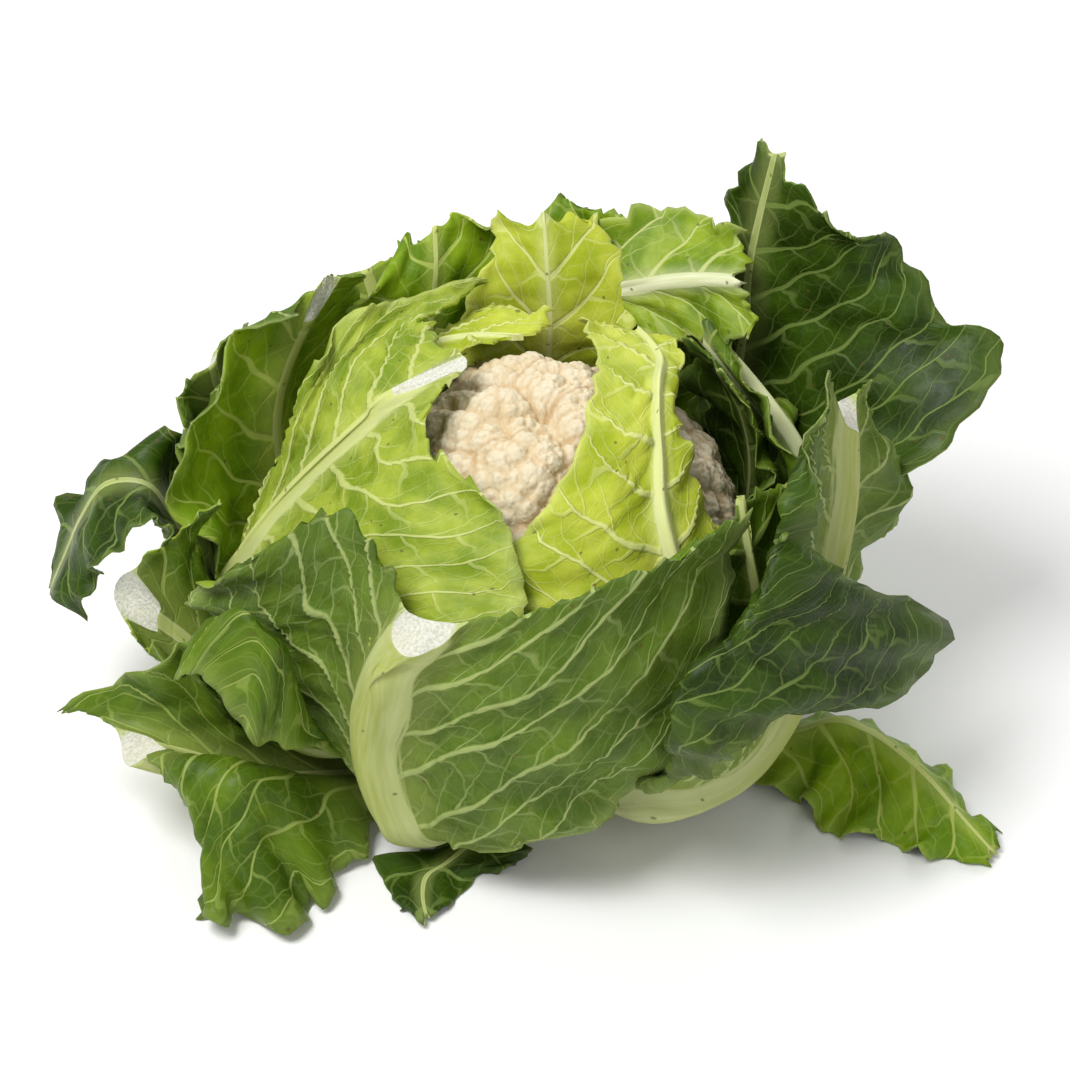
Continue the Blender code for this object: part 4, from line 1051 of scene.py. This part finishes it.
print("middle grey of a screen in a shader:", round(srgb(128, 128, 128)[0], 3))

# %% [markdown]
# ## The veins
#
# Side veins leave the rib at a slant and thin out towards the margin. Smaller branches leave
# them on both sides, and between those runs a net of fine veins. The mesh already carries a
# number that rises by one from each side vein to the next, so a vein is drawn where that number
# is near a whole one, and a branch where the distance out from the rib is. The net is the edge
# distance of two cell patterns, bent by a little noise so that it doesn't look like a tiling.

# %% Lines and bends
def line_of(tree, distance, width):
    """1 on a line and 0 beside it, from the distance to it and its width."""
    inner = maths(tree, "MULTIPLY", width, 0.35)
    return maths(tree, "SUBTRACT", 1.0, step_up(tree, distance, inner, width))


def bent_place(tree, place, scale, amount):
    """A place moved about a little by noise."""
    shift = tree.nodes.new("ShaderNodeTexNoise")
    tree.links.new(place, shift.inputs["Vector"])
    shift.inputs["Scale"].default_value = scale
    small = tree.nodes.new("ShaderNodeVectorMath")
    small.operation = "SCALE"
    tree.links.new(shift.outputs["Color"], small.inputs[0])
    small.inputs["Scale"].default_value = amount
    moved = tree.nodes.new("ShaderNodeVectorMath")
    tree.links.new(place, moved.inputs[0])
    tree.links.new(small.outputs[0], moved.inputs[1])
    return moved.outputs[0]


print("lines and bends ready")

# %% Vein group
BRANCH_SPACING = 12.0       # between the branches of a side vein, mm
BRANCH_LEAN = 0.8           # how far a branch leans outwards, of the way to the next side vein
WIDE_NET, FINE_NET = 1.0, 3.6   # cells of the two nets in a centimetre


def branches(tree, away, out, offset):
    """Small veins that lean outwards from a side vein. Away is 0 on it and 1 at the next one."""
    lean = maths(tree, "MULTIPLY", away, BRANCH_LEAN * VEIN_SPACING)
    count = maths(tree, "DIVIDE", maths(tree, "SUBTRACT", out, lean), BRANCH_SPACING)
    count = maths(tree, "ADD", count, offset)
    distance = maths(tree, "MULTIPLY", maths(tree, "PINGPONG", count, 0.5), BRANCH_SPACING)
    width = maths(tree, "SUBTRACT", 1.0, maths(tree, "MULTIPLY", away, 0.6))
    fading = maths(tree, "SUBTRACT", 0.6, maths(tree, "MULTIPLY", away, 0.55))
    return maths(tree, "MULTIPLY", line_of(tree, distance, width), fading)


def vein_group():
    """Side veins, their branches and the net between them, and the relief they have."""
    tree, given, result = new_group(
        "leaf_veins",
        [("Leaf", "Vector", None), ("Vein", "Vector", None), ("Net", "Float", 0.3)],
        [("Vein", "Float"), ("Height", "Float")])
    count, v, _ = parts_of(tree, given["Vein"])
    wobble = maths(tree, "SUBTRACT", noise(tree, given["Leaf"], 0.8), 0.5)
    phase = maths(tree, "ADD", count, maths(tree, "MULTIPLY", wobble, 0.07))
    main = maths(tree, "MULTIPLY", maths(tree, "PINGPONG", phase, 0.5), VEIN_SPACING)
    from_rib = parts_of(tree, given["Leaf"])["X"]
    out = maths(tree, "MULTIPLY", maths(tree, "ABSOLUTE", from_rib), MAP_UNIT)
    out = maths(tree, "ADD", out, maths(tree, "MULTIPLY", noise(tree, given["Leaf"], 0.9), 9.0))
    above = maths(tree, "FRACT", phase)
    below = maths(tree, "SUBTRACT", 1.0, above)
    width = maths(tree, "SUBTRACT", 2.0, maths(tree, "MULTIPLY", v, 1.5))
    line = line_of(tree, main, width)
    fork = maths(tree, "MAXIMUM",
                 branches(tree, above, out, 0.0), branches(tree, below, out, 0.5))
    bent = bent_place(tree, given["Leaf"], 1.1, 0.5)
    wide = line_of(tree, cells(tree, bent, WIDE_NET, "DISTANCE_TO_EDGE"), 0.05)
    fine = line_of(tree, cells(tree, bent, FINE_NET, "DISTANCE_TO_EDGE"), 0.11)
    net = maths(tree, "MAXIMUM", wide, maths(tree, "MULTIPLY", fine, 0.4))
    net = maths(tree, "MULTIPLY", net, given["Net"])
    total = maths(tree, "MAXIMUM", maths(tree, "MAXIMUM", line, fork), net)
    tree.links.new(total, result["Vein"])
    grain = maths(tree, "MULTIPLY", noise(tree, given["Leaf"], 22.0, 4.0), 0.25)
    tree.links.new(maths(tree, "ADD", total, grain), result["Height"])
    return tree


VEINS = vein_group()
print("vein group nodes:", len(VEINS.nodes))

# %% [markdown]
# ## The leaf's skin
#
# Under its bloom of pale wax a leaf is mottled: yellower near the rib and the base, deeper green
# in the middle of the blade, and brighter along its thin margin. The rib is nearly white at the
# stalk, and its rounded sides are painted paler as a highlight. One group mixes all of it, and
# each kind of leaf gives it its own colours.

# %% Skin group
WAX = srgb(132, 150, 94)
STREAK = srgb(190, 197, 138)
# A painted highlight along the rib's rounded sides
RIB_EDGE_HIGHLIGHT = srgb(196, 203, 150)
RIB_BASE = srgb(206, 208, 166)
SPECK = srgb(92, 74, 36)


def skin_group():
    """The colour, roughness and relief of a leaf's skin, from its colours and its veins."""
    tree, given, result = new_group(
        "leaf_skin",
        [("Leaf", "Vector", None), ("Rib", "Vector", None), ("Edge", "Vector", None),
         ("Vein", "Float", 0.0), ("Height", "Float", 0.0),
         ("Blade Colour", "Color", None), ("Deep Colour", "Color", None),
         ("Vein Colour", "Color", None), ("Rib Colour", "Color", None), ("Rib Share", "Float", 1.0),
         ("Bloom", "Float", 0.3), ("Shine", "Float", 0.45)],
        [("Colour", "Color"), ("Roughness", "Float"), ("Height", "Float")])
    out, base, _ = parts_of(tree, given["Rib"])
    margin = parts_of(tree, given["Edge"])["X"]
    drawn = tree.nodes.new("ShaderNodeMapping")
    drawn.inputs["Scale"].default_value = (7.0, 0.5, 1.0)
    tree.links.new(given["Leaf"], drawn.inputs["Vector"])
    streak = noise(tree, drawn.outputs[0], 1.0, 4.0)
    share = given["Rib Share"]
    ragged = maths(tree, "MULTIPLY", maths(tree, "SUBTRACT", streak, 0.5), 0.6)
    from_rib = maths(tree, "ADD", out, maths(tree, "MULTIPLY", ragged, share))
    blade = step_up(tree, from_rib, maths(tree, "MULTIPLY", share, 0.82), share)
    rib = maths(tree, "SUBTRACT", 1.0, blade)
    near_rib = maths(tree, "SUBTRACT", 1.0, step_up(tree, out, 0.6, 2.6))
    patch = step_up(tree, noise(tree, given["Leaf"], 0.5, 4.0), 0.38, 0.62)
    mottle = step_up(tree, noise(tree, given["Leaf"], 3.0, 4.0), 0.3, 0.75, 0.6)
    colour = blend(tree, patch, given["Blade Colour"], given["Deep Colour"])
    colour = blend(tree, maths(tree, "MULTIPLY", mottle, 0.5), colour, given["Deep Colour"])
    colour = blend(tree, maths(tree, "MULTIPLY", near_rib, 0.3), colour, given["Rib Colour"])
    colour = blend(tree, maths(tree, "MULTIPLY", base, 0.5), colour, given["Rib Colour"])
    wax = step_up(tree, noise(tree, given["Leaf"], 1.7, 5.0), 0.3, 0.7)
    bloom = maths(tree, "MULTIPLY", maths(tree, "ADD", base, 0.6), given["Bloom"])
    wax = maths(tree, "MULTIPLY", wax, bloom)
    colour = blend(tree, wax, colour, WAX)
    vein = maths(tree, "MULTIPLY", given["Vein"], blade)
    colour = blend(tree, maths(tree, "MULTIPLY", vein, 0.7), colour, given["Vein Colour"])
    colour = blend(tree, maths(tree, "MULTIPLY", margin, 0.3), colour, given["Vein Colour"])
    ribbed = blend(tree, step_up(tree, streak, 0.35, 0.7, 0.5), given["Rib Colour"], STREAK)
    near, far = maths(tree, "MULTIPLY", share, 0.35), maths(tree, "MULTIPLY", share, 0.8)
    # Painted highlight: the rib turns paler towards its rounded sides.
    beside = step_up(tree, out, near, far, 0.4)
    ribbed = blend(tree, beside, ribbed, RIB_EDGE_HIGHLIGHT)
    ribbed = blend(tree, maths(tree, "MULTIPLY", base, 0.5), ribbed, RIB_BASE)
    colour = blend(tree, rib, colour, ribbed)
    speck = line_of(tree, cells(tree, given["Leaf"], 0.5, "F1"), 0.04)
    colour = blend(tree, maths(tree, "MULTIPLY", speck, 0.7), colour, SPECK)
    tree.links.new(colour, result["Colour"])
    rough = maths(tree, "MULTIPLY", maths(tree, "SUBTRACT", mottle, 0.3), 0.2)
    rough = maths(tree, "ADD", given["Shine"], rough)
    rough = maths(tree, "ADD", rough, maths(tree, "MULTIPLY", wax, 0.25), clamp=True)
    tree.links.new(rough, result["Roughness"])
    raised = maths(tree, "MULTIPLY", given["Height"], blade)
    fibre = maths(tree, "MULTIPLY", maths(tree, "MULTIPLY", streak, rib), 0.6)
    tree.links.new(maths(tree, "ADD", raised, fibre), result["Height"])
    return tree


SKIN = skin_group()
print("skin group nodes:", len(SKIN.nodes))

# %% [markdown]
# ## Leaf finishes
#
# The colours below are the kinds of leaf on this head, from the yellow ones that grew in the
# dark against the curd to the dark outer blades. The inside of a blade is smoother and deeper
# green than its waxy outside, and shows only a narrow pale line of the rib, so every leaf gets
# two of them. The dark colours are a deep green darkened further as painted shade, for
# insides that lie in shadow and for the low leaf under the head.

# %% Leaf colours
# name: colours of the blade, its deep parts, veins and rib, then its bloom and its roughness
TONES = {
    "yellow": (srgb(190, 199, 66), srgb(158, 174, 32),
               srgb(218, 222, 148), srgb(216, 220, 146), 0.04, 0.42),
    "light": (srgb(164, 179, 60), srgb(116, 140, 24),
              srgb(206, 213, 136), srgb(202, 209, 124), 0.06, 0.45),
    "bright": (srgb(130, 160, 18), srgb(94, 127, 5),
               srgb(184, 198, 100), srgb(190, 201, 106), 0.02, 0.42),
    "mid": (srgb(92, 119, 18), srgb(61, 88, 6),
            srgb(158, 174, 88), srgb(176, 187, 102), 0.04, 0.42),
    # dark: a deep green, darkened further as painted shade
    "dark": (srgb(52, 78, 6), srgb(30, 50, 0),
             srgb(124, 144, 72), srgb(158, 171, 96), 0.03, 0.42),
    "folded": (srgb(148, 170, 44), srgb(102, 132, 18),
               srgb(206, 213, 140), srgb(224, 227, 190), 0.04, 0.45),
    "channelled": (srgb(88, 115, 18), srgb(58, 86, 6),
                   srgb(160, 175, 92), srgb(204, 209, 162), 0.08, 0.42),
    "bloomy": (srgb(92, 118, 24), srgb(68, 94, 10),
               srgb(176, 190, 118), srgb(164, 173, 88), 0.22, 0.50),
}
# An inside given dark is painted shade, where that face lies in shadow.
# leaf: its outside, its inside
SIDES = {
    "leaf_inner_right": ("yellow", "yellow"), "leaf_inner_back_left": ("yellow", "yellow"),
    "leaf_back": ("light", "yellow"), "leaf_dark_inner": ("mid", "dark"),
    "leaf_inner_left": ("light", "bright"),
    "leaf_front_inner": ("mid", "dark"), "leaf_back_folded": ("folded", "folded"),
    "leaf_right_inner": ("channelled", "channelled"), "leaf_back_left": ("light", "bright"),
    "leaf_upper_left": ("bloomy", "bright"), "leaf_back_right": ("bloomy", "dark"),
    "leaf_front": ("bloomy", "bright"), "leaf_right": ("bloomy", "dark"),
    "leaf_ribbon_left": ("mid", "mid"),
    "leaf_left": ("light", "mid"), "leaf_back_outer": ("bloomy", "bright"),
    "leaf_back_left_outer": ("bloomy", "bright"), "leaf_left_outer": ("bloomy", "mid"),
    "leaf_left_back": ("bloomy", "dark"), "leaf_back_right_outer": ("bloomy", "dark"),
    "leaf_low_left": ("bloomy", "mid"), "leaf_low_front": ("dark", "dark"),
    "leaf_low_right": ("bloomy", "bright"),
}
print("kinds of leaf surface:", len(TONES))

# %% [markdown]
# One finish reads the maps, passes them through the vein group and the skin group, and gives
# both its own colours. A finish that exists already is used again.

# %% Leaf finishes
RIB_OUTSIDE = 1.0           # how much of the rib's width is pale
RIB_INSIDE_PALE = {"folded": 1.0, "channelled": 0.9}
RIB_INSIDE_OTHERS = 0.4
NET_SHOWN = 0.14            # how strongly the net of fine veins shows
LEAF_SPECULAR = 0.18


def map_of(tree, name):
    """One of the maps that the mesh carries."""
    made = tree.nodes.new("ShaderNodeUVMap")
    made.uv_map = name
    return made.outputs[0]


def leaf_finish(name, tone, raised, rib_share):
    """One kind of leaf surface. Raised is the veins' relief in metres, above zero where they
    stand out."""
    found = bpy.data.materials.get(name)
    if found:
        return found
    blade, deep, vein, rib, bloom, shine = TONES[tone]
    made, tree, shader = new_material(name)
    veins = tree.nodes.new("ShaderNodeGroup")
    veins.node_tree = VEINS
    tree.links.new(map_of(tree, "leaf"), veins.inputs["Leaf"])
    tree.links.new(map_of(tree, "vein"), veins.inputs["Vein"])
    veins.inputs["Net"].default_value = NET_SHOWN
    skin = tree.nodes.new("ShaderNodeGroup")
    skin.node_tree = SKIN
    tree.links.new(map_of(tree, "leaf"), skin.inputs["Leaf"])
    tree.links.new(map_of(tree, "rib"), skin.inputs["Rib"])
    tree.links.new(map_of(tree, "edge"), skin.inputs["Edge"])
    tree.links.new(veins.outputs["Vein"], skin.inputs["Vein"])
    tree.links.new(veins.outputs["Height"], skin.inputs["Height"])
    given = {"Blade Colour": blade, "Deep Colour": deep, "Vein Colour": vein,
             "Rib Colour": rib, "Bloom": bloom, "Shine": shine, "Rib Share": rib_share}
    for label, value in given.items():
        skin.inputs[label].default_value = value
    tree.links.new(skin.outputs["Colour"], shader.inputs["Base Color"])
    tree.links.new(skin.outputs["Roughness"], shader.inputs["Roughness"])
    add_bump(tree, skin.outputs["Height"], 0.6, abs(raised), raised < 0)
    shader.inputs["Specular IOR Level"].default_value = LEAF_SPECULAR
    return made


print("leaf finishes: ready, at most", 2 * len(TONES))

# %% [markdown]
# ## Cut flesh
#
# Where the knife went through a rib, the flesh is white and spongy, with a darker green skin
# round it and a few dried brown patches. A fine noise gives the sponge, with painted shade in its
# hollows where the bump is low, a coarse one gives the patches, and the bump keeps it matt.

# %% Cut flesh
FLESH = srgb(224, 224, 212)
# Painted shade for the sponge's hollows
FLESH_HOLLOW_SHADE = srgb(196, 197, 178)
FLESH_DRIED = srgb(204, 196, 160)
FLESH_SKIN = srgb(178, 190, 116)


def cut_finish():
    """White sponge with painted shade in its hollows, dried patches and a green skin."""
    made, tree, shader = new_material("cut_flesh")
    where = tree.nodes.new("ShaderNodeTexCoord").outputs["Object"]
    pores = noise(tree, where, 1000.0, 5.0)
    patches = step_up(tree, noise(tree, where, 90.0, 3.0), 0.45, 0.7)
    # Painted shade: the sponge is darker where its bump is low.
    colour = blend(tree, step_up(tree, pores, 0.3, 0.7), FLESH_HOLLOW_SHADE, FLESH)
    colour = blend(tree, maths(tree, "MULTIPLY", patches, 0.3), colour, FLESH_DRIED)
    across = parts_of(tree, map_of(tree, "rib"))["X"]
    colour = blend(tree, step_up(tree, across, 0.72, 1.0), colour, FLESH_SKIN)
    tree.links.new(colour, shader.inputs["Base Color"])
    shader.inputs["Roughness"].default_value = 0.75
    add_bump(tree, pores, 0.8, 0.0008)
    return made


CUT = cut_finish()
print("finish:", CUT.name)

# %% [markdown]
# ## Dressing the leaves
#
# Each fine leaf gets its outside, its inside and the cut flesh, rides on the model's one body,
# and takes the place of its plain solid.

# %% Dress the leaves
VEINS_OUT = 0.0007          # the veins' relief on the outside, in metres
VEINS_IN = -0.0004          # and on the inside, where they are sunk

for leaf in LEAVES:
    name = leaf["name"]
    piece = leaves[name]
    outside, inside = SIDES[name]
    pale = RIB_INSIDE_PALE.get(inside, RIB_INSIDE_OTHERS)
    for finish in (leaf_finish("outside_" + outside, outside, VEINS_OUT, RIB_OUTSIDE),
                   leaf_finish("inside_" + inside, inside, VEINS_IN, pale), CUT):
        piece.data.materials.append(finish)
    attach(piece, "root")
    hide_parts(name)
print("dressed:", len(leaves), "leaves")

# %% [markdown]
# ## The curd
#
# A curd is made of florets, each floret of large and small knobs, and each knob of granules:
# the same round shape at four sizes. So the surface is a dome raised by four sets of round
# bumps. Each set has centres spread evenly by a spiral and then shaken, and a point's height
# depends on its distance to the nearest centre, which leaves sharp creases where two bumps meet.

# %% Bumps
CURD_RADIUS = 70.0
CURD_CENTRE = (3.0, 2.0, 74.0)
CURD_BOTTOM = 46.0
CURD_TOP_CLOSER = 0.45      # how much the points draw together at the top
CLUSTER_SPACING = 31.0      # the big florets
KNOB_SPACING = 14.0         # the knobs that each floret is made of
FINE_KNOB_SPACING = 8.6     # the small knobs on those
GRANULE_SPACING = 2.8       # the granules on all of them
CLUSTER_RELIEF = 6.5        # how far each kind of bump stands out, mm
KNOB_RELIEF = 3.9
FINE_KNOB_RELIEF = 2.5
GRANULE_RELIEF = 1.05
CREASE_SHADE_WIDTH = 2.6          # of the painted shade line between two bumps, at most, mm


def spread_points(count):
    """Directions spread evenly over a sphere along a spiral."""
    k = np.arange(count) + 0.5
    height = 1 - 2 * k / count
    turn = k * math.pi * (3 - math.sqrt(5))
    ring = np.sqrt(1 - height ** 2)
    return np.stack([ring * np.cos(turn), ring * np.sin(turn), height], -1)


def bumps(directions, spacing, seed, roundness):
    """Height from 0 to 1 of round bumps over the dome, and painted shade that is 1 in the creases
    between them.
    """
    count = int(4 * math.pi * CURD_RADIUS ** 2 / (0.87 * spacing ** 2))
    draw = np.random.default_rng(seed)
    centres = spread_points(count) + draw.normal(0, 0.16 * spacing / CURD_RADIUS, (count, 3))
    centres /= np.linalg.norm(centres, axis=1, keepdims=True)
    tree = KDTree(count)
    for k, centre in enumerate(centres):
        tree.insert(centre, k)
    tree.balance()
    found = [tree.find_n(d, 2) for d in directions]
    near = np.array([f[0][2] for f in found]) * CURD_RADIUS
    second = np.array([f[1][2] for f in found]) * CURD_RADIUS
    height = np.sqrt(np.clip(1 - (near / (roundness * spacing)) ** 2, 0, 1))
    # This crease mask serves only the painted shade in the curd's colour.
    crease_shade = 1 - smooth_step(second - near, 0.0, min(0.22 * spacing, CREASE_SHADE_WIDTH))
    return height, crease_shade


print("florets, knobs, granules:", CLUSTER_SPACING, KNOB_SPACING, GRANULE_SPACING, "mm across")

# %% Dome
CURD_FINE_SIDES = 400
CURD_FINE_RINGS = 230


def dome_radius(directions):
    """Distance from the curd's centre to its plain form: a dome on a cone with a flat foot."""
    side = np.linalg.norm(directions[:, :2], axis=1)
    down = -directions[:, 2]
    drop = CURD_CENTRE[2] - CURD_BOTTOM
    cone = np.array((drop, CURD_RADIUS - STALK_RADIUS))
    cone /= np.linalg.norm(cone)
    slant = CURD_RADIUS * cone[0] / np.maximum(side * cone[0] + down * cone[1], 0.01)
    return np.minimum(np.minimum(CURD_RADIUS, slant), drop / np.maximum(down, 0.01))


def curd_directions():
    """Rings of directions round a level axis, closer together at the top."""
    share = np.arange(1, CURD_FINE_RINGS + 1) / (CURD_FINE_RINGS + 1)
    polar = (math.pi * share + CURD_TOP_CLOSER / 2 * np.sin(2 * math.pi * share))[:, None]
    share = np.arange(CURD_FINE_SIDES) / CURD_FINE_SIDES - 0.5
    turns = (2 * math.pi * share - CURD_TOP_CLOSER * np.sin(2 * math.pi * share))[None, :]
    across = np.sin(polar)
    level = -np.cos(polar) + 0 * turns
    rings = np.stack([level, across * np.sin(turns), across * np.cos(turns)], -1)
    return np.concatenate([[(-1.0, 0, 0)], rings.reshape(-1, 3), [(1.0, 0, 0)]])


def ring_faces(sides, rings):
    """Faces between rings of points that close at a first and a last point."""
    index = 1 + np.arange(sides * rings).reshape(rings, sides)
    after = np.roll(index, -1, axis=1)
    quads = np.stack([index[:-1], index[1:], after[1:], after[:-1]], -1).reshape(-1, 4).tolist()
    last = 1 + sides * rings
    start = [(0, int(a), int(b)) for a, b in zip(index[0], after[0])]
    return start + quads + [(int(a), last, int(b)) for a, b in zip(index[-1], after[-1])]


print("directions over the dome:", CURD_FINE_SIDES * CURD_FINE_RINGS + 2)

# %% Curd mesh
def curd_object():
    """The fine curd, with how deep in a crease each point is, for the painted crease shade."""
    directions = curd_directions()
    show = smooth_step(directions[:, 2], -0.2, 0.1)
    clusters, deep_crease_shade = bumps(directions, CLUSTER_SPACING, 1, 0.68)
    knobs, knob_crease_shade = bumps(directions, KNOB_SPACING, 2, 0.66)
    small_knobs, small_crease_shade = bumps(directions, FINE_KNOB_SPACING, 4, 0.64)
    granules, fine_crease_shade = bumps(directions, GRANULE_SPACING, 3, 0.6)
    relief = CLUSTER_RELIEF * (clusters - 1) + KNOB_RELIEF * (knobs - 0.85)
    relief += FINE_KNOB_RELIEF * (small_knobs - 0.8) + GRANULE_RELIEF * (granules - 0.7)
    radius = dome_radius(directions) + relief * show
    points = directions * radius[:, None] + np.array(CURD_CENTRE)
    mesh = bpy.data.meshes.new("florets")
    mesh.from_pydata((points * MM).tolist(), [], ring_faces(CURD_FINE_SIDES, CURD_FINE_RINGS))
    mesh.polygons.foreach_set("use_smooth", np.ones(len(mesh.polygons), bool))
    # This layer carries the painted shade for the creases.
    layer = mesh.color_attributes.new("crease_shade", "FLOAT_COLOR", "POINT")
    knob_crease_shade = np.maximum(knob_crease_shade, 0.7 * small_crease_shade)
    values = np.stack([deep_crease_shade * show, knob_crease_shade * show, fine_crease_shade * show, show], -1)
    layer.data.foreach_set("color", values.ravel().astype(np.float32))
    return add_object("florets", mesh)


florets = curd_object()
print("curd triangles:", sum(len(f.vertices) - 2 for f in florets.data.polygons))

# %% [markdown]
# ## The curd's finish
#
# Florets are ivory and matt, and look soft because light scatters inside them. Between them the
# colour is painted a darker, warm peach as shade, most in the deepest creases. The mesh carries
# how deep in a crease each point is, so the painted shade follows the form. The finest grains are
# too small for the mesh and come from a bump.

# %% Curd finish
FLORET = srgb(224, 213, 186)
FLORET_PATCH = srgb(217, 202, 168)
# The painted shade in the creases of granules, knobs and florets: where the mesh carries it, how
# strong, the colour
CREASE_SHADES = (("Blue", 0.35, srgb(210, 186, 140)), ("Green", 0.6, srgb(200, 170, 122)),
           ("Red", 0.55, srgb(182, 144, 92)))


def curd_finish():
    """Matt ivory, with painted shade that turns it peach in the creases."""
    made, tree, shader = new_material("ivory_florets")
    carried = tree.nodes.new("ShaderNodeVertexColor")
    carried.layer_name = "crease_shade"
    split = tree.nodes.new("ShaderNodeSeparateColor")
    tree.links.new(carried.outputs["Color"], split.inputs[0])
    where = tree.nodes.new("ShaderNodeTexCoord").outputs["Object"]
    patch = step_up(tree, noise(tree, where, 28.0, 3.0), 0.35, 0.7)
    colour = blend(tree, patch, FLORET, FLORET_PATCH)
    # Painted shade: each set of creases darkens the ivory towards peach.
    for channel, strength, shade_tint in CREASE_SHADES:
        share = maths(tree, "MULTIPLY", split.outputs[channel], strength)
        colour = blend(tree, share, colour, shade_tint)
    tree.links.new(colour, shader.inputs["Base Color"])
    grains = cells(tree, where, 700.0, "SMOOTH_F1", flat=False)
    add_bump(tree, grains, 0.7, 0.0006, invert=True)
    shader.inputs["Roughness"].default_value = 0.7
    shader.inputs["Subsurface Weight"].default_value = 0.08
    shader.inputs["Subsurface Radius"].default_value = (1.0, 0.9, 0.7)
    shader.inputs["Subsurface Scale"].default_value = 0.0012
    return made


florets.data.materials.append(curd_finish())
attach(florets, "root")
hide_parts("curd")
print("finish:", florets.data.materials[0].name)

# %% [markdown]
# ## The stalk
#
# The stalk keeps its solid, a short post with a rounded rim. Its cut face underneath shows a
# pale pith, a ring of tougher strands and a green skin, so the colour depends on the distance
# from the middle. The pith gets painted shade in its hollows, where its bump is low. The post's
# side is the outermost part, so it has the skin's colour.

# %% Stalk finish
PITH = srgb(238, 236, 216)
# Painted shade for the pith's hollows
PITH_HOLLOW_SHADE = srgb(214, 212, 180)
STRANDS = srgb(190, 186, 128)
STALK_SKIN = srgb(186, 196, 122)
STALK_DRIED = srgb(168, 140, 92)


def stalk_finish():
    """Pale pith with painted shade in its hollows, a ring of strands and a green skin, by the
    distance from the middle.
    """
    made, tree, shader = new_material("stalk_flesh")
    where = tree.nodes.new("ShaderNodeTexCoord").outputs["Object"]
    x, y, _ = parts_of(tree, where)
    x, y = (maths(tree, "POWER", maths(tree, "ABSOLUTE", side), 2.0) for side in (x, y))
    radius = maths(tree, "SQRT", maths(tree, "ADD", x, y))
    pores = noise(tree, where, 700.0, 4.0)
    # Painted shade: the pith is darker where its bump is low.
    colour = blend(tree, step_up(tree, pores, 0.3, 0.7), PITH_HOLLOW_SHADE, PITH)
    ring = maths(tree, "MULTIPLY", step_up(tree, radius, 0.0195, 0.0215),
                 maths(tree, "SUBTRACT", 1.0, step_up(tree, radius, 0.0235, 0.0255)))
    colour = blend(tree, maths(tree, "MULTIPLY", ring, 0.6), colour, STRANDS)
    colour = blend(tree, step_up(tree, radius, 0.0262, 0.0284), colour, STALK_SKIN)
    dried = step_up(tree, noise(tree, where, 45.0, 4.0), 0.5, 0.72)
    colour = blend(tree, maths(tree, "MULTIPLY", dried, 0.4), colour, STALK_DRIED)
    tree.links.new(colour, shader.inputs["Base Color"])
    shader.inputs["Roughness"].default_value = 0.7
    add_bump(tree, pores, 0.6, 0.0006)
    return made


stalk_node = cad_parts["stalk"]
stalk_node.data.materials.clear()
stalk_node.data.materials.append(stalk_finish())
print("finish:", stalk_node.data.materials[0].name)
